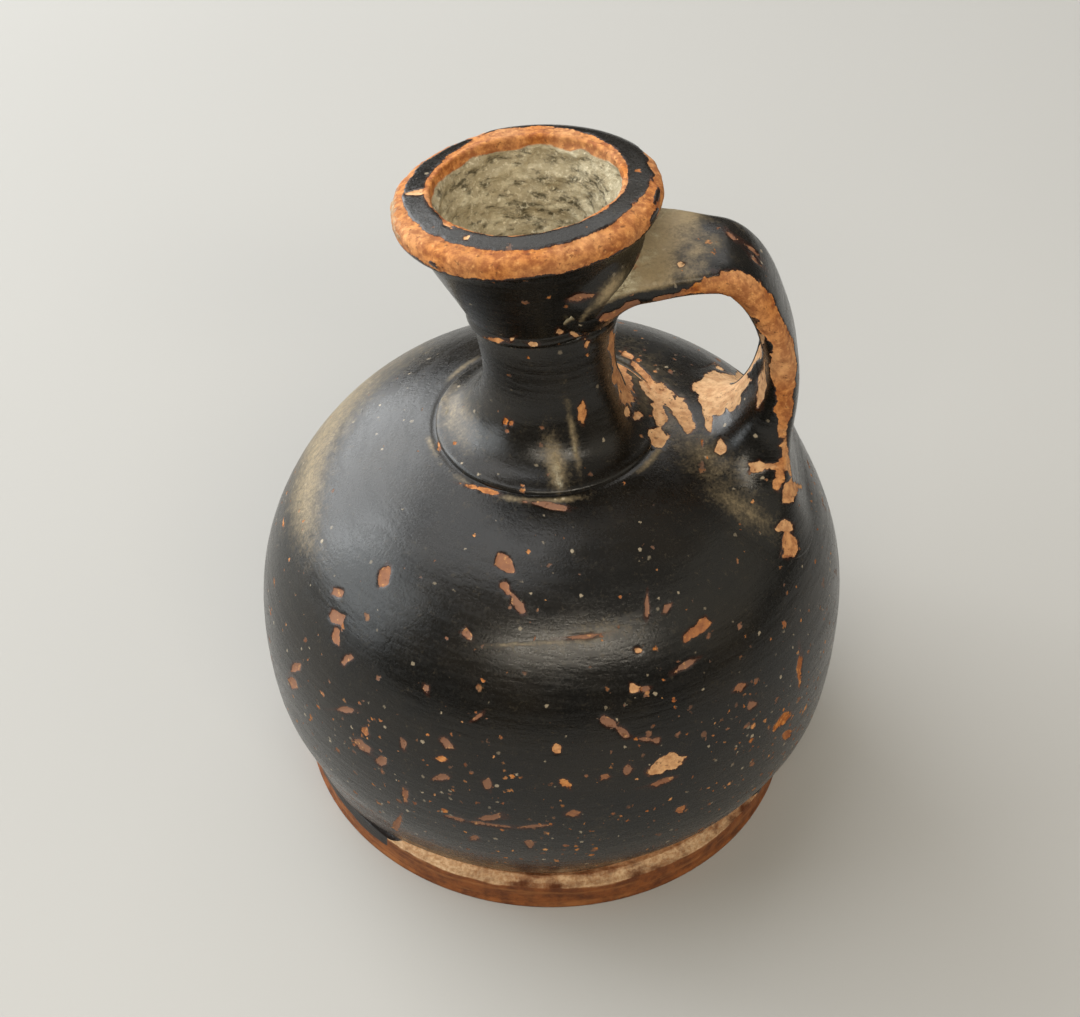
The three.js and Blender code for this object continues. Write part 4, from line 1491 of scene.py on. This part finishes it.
def strap_points(share, across_share, out_share):
    """Points of the strap before its root is smoothed on to the shoulder."""
    across, out = strap_section(share, across_share, out_share)
    x = along_strap(share, strap.line[:, 0]) + along_strap(share, strap.outward[:, 0]) * out
    z = along_strap(share, strap.line[:, 1]) + along_strap(share, strap.outward[:, 1]) * out
    by_mouth = smooth_step(x, *HANDLE_TWIST_RUN)
    twist = (HANDLE_TWIST * across_share + HANDLE_FAR_LIFT * np.clip(across_share, 0, 1)) * by_mouth
    swept = np.clip(-across_share, 0, 1) ** 2 * smooth_step(share, HANDLE_SWEEP_END, 0)
    place = [x - HANDLE_SWEEP_BACK * swept, across, z + twist - HANDLE_SWEEP_DOWN * swept]
    return buried(np.stack(place, axis=2))


def above_shoulder(points):
    return body_distance(points) - body_swell(points)


def rooted_strap(across_share, out_share):
    """The strap's points, its share of length and its height at the root, smoothed on to the shoulder.

    Each line of clay along the strap turns outwards in a hollow curve and ends level with the shoulder.
    """
    edge = ROOT_NEAR + (ROOT_FAR - ROOT_NEAR) * smooth_step(across_share, -1, 1)
    face = np.where(out_share > 0, ROOT_OUTSIDE, ROOT_INSIDE)
    reach = edge + (face - edge) * out_share**2
    falling = np.linspace(1, ROOT_START, HANDLE_STEPS // 2)
    heights = above_shoulder(strap_points(falling[:, None] + 0 * reach, across_share, out_share))
    heights = np.maximum.accumulate(heights, axis=0)
    turn = np.linspace(0, 1, ROOT_ROWS)[:, None]
    height = reach * (1 - turn) ** 2
    columns = [np.interp(level, rise, falling) for level, rise in zip(height.T, heights.T)]
    root = np.stack(columns, axis=1)
    free = np.linspace(0, 1, HANDLE_STEPS, endpoint=False)[:, None] * root[:1]
    share = np.concatenate([free, root])
    grid = strap_points(share, across_share, out_share)
    up = unit(grid - np.array([0, 0, BELLY_HEIGHT]))
    side = normals_of(grid, False)
    side = unit(side - (side * up).sum(axis=-1, keepdims=True) * up)
    share, grid, up, side = [np.concatenate([rows, rows[-1:]]) for rows in (share, grid, up, side)]
    moved = np.concatenate([0 * free, reach * turn**2, reach + ROOT_HIDDEN])
    grid = pushed_out(grid, side, moved)
    wanted = np.concatenate([height - ROOT_SUNK, -ROOT_HIDDEN + 0 * reach])
    for _ in range(ROOT_PASSES):
        grid[len(free):] += up[len(free):] * (wanted - above_shoulder(grid[len(free):]))[..., None]
    return grid, share, np.concatenate([ROOT_INSIDE + 0 * free, wanted])


# Pieces

gloss_material = worn_gloss()
clay_material = bare_clay()


def make_foot():
    grid = turned(foot_outline(), FOOT_SIDES)
    normals = normals_of(grid, True)
    bearing = bearings(grid) % 360
    height = grid[..., 2]
    ledge = smooth_step(height, ledge_edge_height - LEDGE_DUST_DROP, ledge_edge_height)
    ledge = ledge * np.clip(LEDGE_DUST + unevenness(grid, LEDGE_PATCHES), LEDGE_DUST_LEAST, 1)
    slant = LEDGE_SLANT * (np.hypot(grid[..., 0], grid[..., 1]) - FOOT_RADIUS)
    left = bearing_of(LEDGE_LEFT_PIXEL, FOOT_HEIGHT) % 360 - slant
    right = bearing_of(LEDGE_RIGHT_PIXEL, FOOT_HEIGHT) % 360 + slant
    bare = smooth_step(bearing - left, -LEDGE_END_SOFT, LEDGE_END_SOFT)
    bare = bare * smooth_step(right - bearing, -LEDGE_END_SOFT, LEDGE_END_SOFT)
    slip_run = SLIP_RUN + bulge(bearing, SLIP_RUN_FURTHER) + unevenness(grid, SLIP_RUN_UNEVEN)
    slip_edge = ledge_edge_height - slip_run
    glaze = smooth_step(height, slip_edge - SLIP_EDGE_SOFT, slip_edge) * (1 - bare)
    move = (unevenness(grid, FOOT_LUMPS) - FOOT_WORN) * smooth_step(height, 0, FOOT_WORN_RISE)
    grid = pushed_out(grid, normals, move)
    grid[..., 2] = np.maximum(grid[..., 2], 0)
    fields = {"dust": ledge, "glaze": glaze}
    add_piece("foot_ring_clay", "foot_ring", clay_material, grid, True, fields)


def make_body():
    outline = body_outline()
    grid = settled(turned(outline, BODY_SIDES))
    normals = normals_of(grid, False)
    flat_height = np.repeat(outline[:, 1:], BODY_SIDES, axis=1)
    first = np.argmax((outline[:, 1] >= FOOT_HEIGHT - TINY) & (outline[:, 0] >= foot_seat_outer - TINY))
    last = first + np.argmax(outline[first:, 0] <= SHOULDER_RADIUS - NECK_COVER)
    outside = np.zeros(grid.shape[:2])
    outside[first:last] = 1

    flake, pale = marks(grid, normals, BODY_FLAKES + SHOULDER_LOSSES, BODY_SCRATCHES)
    foot_line = FOOT_HEIGHT + FOOT_LINE_HEIGHT + unevenness(grid, FOOT_LINE_EDGE) - flat_height
    flake = np.where(outside > 0, np.maximum(flake, foot_line), FAR)
    pale = np.where(foot_line > FOOT_LINE_FROM, FOOT_LINE_PALE, pale)
    pale = (1 + BODY_REDNESS) * pale - BODY_REDNESS

    x, y = to_pixels(grid)
    # Painted reflection of a window's edge along the left of the body, with dust along the scored line and
    # the dust and sheen patches
    film_and_sheen = BODY_REFLECTION_FILM_STRENGTH * bell(line_distance(x, y, BODY_REFLECTION_FILM), BODY_REFLECTION_FILM_WIDTH)
    film_and_sheen = film_and_sheen * smooth_step(y, *BODY_REFLECTION_FILM_TOP) * smooth_step(y, *BODY_REFLECTION_FILM_BOTTOM) * seen(grid, normals)
    past_neck = np.hypot(grid[..., 0] - NECK_BASE[0], grid[..., 1] - NECK_BASE[1]) - SHOULDER_RADIUS
    rim = RIM_DUST * bell(past_neck - 2 * GROOVE_WIDTH, GROOVE_WIDTH)
    rim = rim * smooth_step(unevenness(grid, RIM_PATCHES), *RIM_LIMITS)
    film_and_sheen = np.clip(np.maximum.reduce([film_and_sheen, rim, patches(grid, normals, BODY_DUST_AND_SHEEN)]), 0, 1)

    low = smooth_step(grid[..., 2], *SPECKS_LOW)
    right = smooth_step(grid[..., 0], *SPECKS_RIGHT)
    below = SPECKS_BELOW * low * (SPECKS_BELOW_LEFT + (1 - SPECKS_BELOW_LEFT) * right)
    density = SPECKS_ANYWHERE + below + SPECKS_AT_RIGHT * right + patches(grid, normals, ROOT_SPECKS)
    clusters = smooth_step(unevenness(grid, SPECK_CLUSTERS), *CLUSTER_LIMITS)
    density = density * (CLUSTER_LEAST + CLUSTER_GAIN * clusters)

    wheel = WHEEL_RELIEF * np.sin(flat_height * BODY_WHEEL_LINES + unevenness(grid, BODY_WHEEL_WANDER))
    groove = -GROOVE_DEPTH * bell(past_neck - GROOVE_WIDTH / 4, GROOVE_WIDTH / 2)
    move = body_swell(grid) + wheel + groove + slip_lost(flake)
    grid = pushed_out(grid, normals, move * outside)
    fields = {"flake": flake, "pale": pale, "film_and_sheen": film_and_sheen, "crust": 0 * film_and_sheen, "specks": density}
    add_piece("body_shell", "body", gloss_material, grid, False, fields)


def make_neck():
    outside = evenly(neck_outline(), SPACING)
    bore = [(NECK_BORE_RADIUS, NECK_HEIGHT), (NECK_BORE_RADIUS, -NECK_BASE_DEPTH)]
    hidden = evenly(chained(outside[-1], bore), COARSE_SPACING)
    straight = turned(chained(outside, hidden)[:-1], NECK_SIDES)
    height = straight[..., 2]
    grid = leaned(straight)
    normals = normals_of(grid, True)
    shown = np.zeros(grid.shape[:2])
    shown[:len(outside)] = 1

    fuller = bulge(bearings(straight), NECK_FULLER) * smooth_step(height, *NECK_FULLER_RISE)
    joined = blend(strap_distance(grid), MOUTH_BLEND)
    move = unevenness(grid, NECK_LUMPS) + fuller + joined
    grid = pushed_out(grid, normals, move * shown)
    normals = normals_of(grid, True)

    flake, pale = marks(grid, normals, NECK_FLAKES + SHOULDER_LOSSES)
    flake = np.where(shown > 0, flake, FAR)
    # Dust, and painted sheen and highlight on the neck's flare
    film_and_sheen = patches(grid, normals, NECK_DUST_AND_SHEEN)
    # Crust, which on the front of the flare also paints the highlight streak
    crust = patches(grid, normals, NECK_CRUST_AND_SHEEN)
    wheel = WHEEL_RELIEF * np.sin(height * NECK_WHEEL_LINES + unevenness(grid, NECK_WHEEL_WANDER))
    grid = pushed_out(grid, normals, (wheel + slip_lost(flake)) * shown)
    fields = {"flake": flake, "pale": pale, "film_and_sheen": film_and_sheen, "crust": crust, "specks": SMALL_PIECE_SPECKS}
    add_piece("neck_tube", "neck", gloss_material, grid, True, fields)


def lip_limits(bearing):
    """Inner and outer radius of the black left on the lip, at a bearing in degrees."""
    turns, inner, outer = zip(*LIP_BLACK)
    return np.interp(bearing, turns, inner), np.interp(bearing, turns, outer)


def make_mouth():
    outline = mouth_outline()
    loop = evenly(chained(outline, outline[0]), SPACING)[:-1]
    straight = turned(loop, MOUTH_SIDES)
    radius = np.repeat(loop[:, :1], MOUTH_SIDES, axis=1)
    height = straight[..., 2].copy()
    bearing = bearings(straight) % 360
    straight[..., 2] += NECK_HEIGHT
    grid = leaned(straight)
    normals = normals_of(grid, True)
    inside = np.zeros(grid.shape[:2])
    inside[np.argmax(loop[:, 1]):] = 1
    outside = 1 - inside
    lip_bottom = MOUTH_HEIGHT - LIP_HEIGHT

    inner, outer = lip_limits(bearing)
    wander = unevenness(grid, LIP_EDGE) + unevenness(grid, LIP_EDGE_FINE)
    on_lip = height - (lip_bottom + LIP_BLACK_BELOW) + wander
    worn = np.minimum(np.maximum(inner - radius, radius - outer) + wander, on_lip)
    worn = np.where(inside > 0, inner - radius + wander, worn)
    kept, _ = marks(grid, normals, LIP_KEPT)
    worn = np.minimum(worn, -kept)
    flake, pale = marks(grid, normals, NECK_FLAKES + LIP_FLAKES)
    flake = np.maximum(flake, worn)

    below_bevel = MOUTH_HEIGHT - LIP_HOLE_ROUND - height
    deposit = inside * smooth_step(below_bevel + unevenness(grid, DEPOSIT_EDGE), *DEPOSIT_LIMITS)
    lumps = unevenness(grid * DEPOSIT_FLATNESS, DEPOSIT_LUMPS) * deposit
    pitted = unevenness(grid, LIP_PITS) * smooth_step(worn, *WORN_LIMITS) * (1 - deposit)
    on_roll = smooth_step(radius, LIP_FACE_RADIUS, LIP_RADIUS) * outside
    crust = np.maximum(DEPOSIT_CRUST * deposit, bulge(bearing, LIP_DUST) * on_roll)
    under_lip = smooth_step(height, *[lip_bottom - drop for drop in LIP_CLEAR]) * outside
    fuller = bulge(bearing, LIP_DROOP) * on_roll + bulge(bearing, MOUTH_FULLER) * under_lip
    joined = blend(strap_distance(grid), MOUTH_BLEND) * under_lip
    uneven = unevenness(grid, MOUTH_LUMPS) + lumps + pitted
    grid = pushed_out(grid, normals, uneven + slip_lost(flake) * outside + fuller + joined)
    pale = np.where(worn > LIP_PALE_FROM, LIP_PALE + unevenness(grid, LIP_PALE_PATCHES), pale)
    film_and_sheen = patches(grid, normals, MOUTH_DUST)
    fields = {"flake": flake, "pale": pale, "film_and_sheen": film_and_sheen, "crust": crust, "specks": SMALL_PIECE_SPECKS}
    add_piece("mouth_funnel", "mouth", gloss_material, grid, True, fields)


def make_handle():
    angle = np.linspace(0, 2 * math.pi, HANDLE_SIDES, endpoint=False)[None, :]
    power = 2 / HANDLE_ROUNDNESS
    across_share = np.sign(np.cos(angle)) * np.abs(np.cos(angle)) ** power
    out_share = np.sign(np.sin(angle)) * np.abs(np.sin(angle)) ** power
    grid, share, root_height = rooted_strap(across_share, out_share)
    across, out = strap_section(share, across_share, out_share)
    half_width = along_strap(share, strap.half_width)
    normals = normals_of(grid, False)

    flake, pale = marks(grid, normals, HANDLE_FLAKES + SHOULDER_LOSSES)
    shares, middles, widths = zip(*HANDLE_WEAR)
    off_middle = np.hypot(across + half_width, out - np.interp(share, shares, middles))
    edge = np.interp(share, shares, widths) - off_middle + unevenness(grid, HANDLE_WEAR_EDGE)
    far_edge = HANDLE_FAR_WEAR - (half_width - across) + unevenness(grid, HANDLE_FAR_EDGE)
    flake = np.maximum.reduce([flake, edge, far_edge])
    red = HANDLE_REDNESS * smooth_step(share, *HANDLE_RED_RUN)
    edge_pale = HANDLE_PALE + unevenness(grid, HANDLE_PALE_PATCHES) - red
    pale = np.where(edge > HANDLE_PALE_FROM, edge_pale, pale)

    upper = smooth_step(out_share, *HANDLE_UPPER)
    near = smooth_step(-across_share, *HANDLE_NEAR)
    wander = grid[..., 0] + unevenness(grid, HANDLE_DUST_EDGE)
    dust = HANDLE_DUST * upper * smooth_step(wander, *HANDLE_DUST_RUN)
    # Dust on the strap, and the painted sheen of the patches at the handle's foot running on over its root
    film_and_sheen = np.maximum(dust, patches(grid, normals, BODY_DUST_AND_SHEEN))
    tail = HANDLE_TAIL * upper * near * smooth_step(share, *HANDLE_TAIL_RUN)
    crust = np.maximum(HANDLE_CRUST * upper * smooth_step(wander, *HANDLE_CRUST_RUN), tail)

    lumps = unevenness(grid, HANDLE_LUMPS) + unevenness(grid, HANDLE_CRUST_LUMPS) * crust
    pitted = unevenness(grid, HANDLE_PITS) * smooth_step(edge, *WORN_LIMITS)
    joined = blend(mouth_distance(grid), MOUTH_BLEND)
    move = (lumps + pitted + joined) * smooth_step(root_height, 0, ROOT_SMOOTH) + slip_lost(flake)
    grid = pushed_out(grid, normals, move)
    fields = {"flake": flake, "pale": pale, "film_and_sheen": film_and_sheen, "crust": crust, "specks": HANDLE_SPECKS}
    add_piece("handle_strap", "handle", gloss_material, grid, False, fields)


# Stage

def make_floor():
    mesh = bpy.data.meshes.new("floor")
    half = FLOOR_HALF * MM
    corners = [(-half, -half, 0), (half, -half, 0), (half, half, 0), (-half, half, 0)]
    mesh.from_pydata(corners, [], [(0, 1, 2, 3)])
    mesh.materials.append(floor_finish())
    floor = add_object("floor", mesh)


def placed(right, up, back, place):
    """The matrix of a lamp or camera at a place in millimetres, which looks away from its back."""
    rows = np.stack([right, up, back, place * MM], axis=1).tolist()
    return Matrix([*rows, [0, 0, 0, 1]])


def make_lamp(name, bearing, elevation, distance, width, height, brightness, tint):
    """A soft rectangular lamp that looks at the middle of the flask."""
    data = bpy.data.lights.new(name, "AREA")
    data.shape = "RECTANGLE"
    data.size = width * MM
    data.size_y = height * MM
    data.energy = brightness * math.pi * data.size * data.size_y
    data.color = tint
    bearing, elevation = math.radians(bearing), math.radians(elevation)
    back = np.array([
        math.cos(bearing) * math.cos(elevation),
        math.sin(bearing) * math.cos(elevation),
        math.sin(elevation),
    ])
    right = unit(np.cross([0, 0, 1], back))
    lamp = add_object(name, data)
    lamp.matrix_world = placed(right, np.cross(back, right), back, LAMP_AIM + distance * back)
    lamp.visible_camera = False


def make_camera():
    data = bpy.data.cameras.new("camera")
    data.lens = LENS
    data.sensor_width = SENSOR
    data.sensor_fit = "HORIZONTAL"
    data.clip_start = CLIP_START * MM
    camera = add_object("camera", data)
    right, up, forward = camera_axes()
    camera.matrix_world = placed(right, up, -forward, CAMERA_EYE)
    bpy.context.scene.camera = camera


def make_world():
    """A room that is lighter above than at the sides."""
    world = bpy.data.worlds.new("studio")
    world.use_nodes = True
    tree = world.node_tree
    place = tree.nodes.new("ShaderNodeTexCoord")
    split = tree.nodes.new("ShaderNodeSeparateXYZ")
    tree.links.new(place.outputs["Generated"], split.inputs["Vector"])
    climb = tree.nodes.new("ShaderNodeMapRange")
    tree.links.new(split.outputs["Z"], climb.inputs["Value"])
    climb.inputs["To Min"].default_value = WORLD_LOW
    climb.inputs["To Max"].default_value = WORLD_HIGH
    background = tree.nodes["Background"]
    background.inputs["Color"].default_value = WORLD_TINT
    tree.links.new(climb.outputs["Result"], background.inputs["Strength"])
    bpy.context.scene.world = world


make_foot()
make_body()
make_neck()
make_mouth()
make_handle()
make_floor()
make_camera()
make_world()
for lamp_row in LAMPS:
    make_lamp(*lamp_row)
bpy.context.scene.view_settings.view_transform = "Standard"
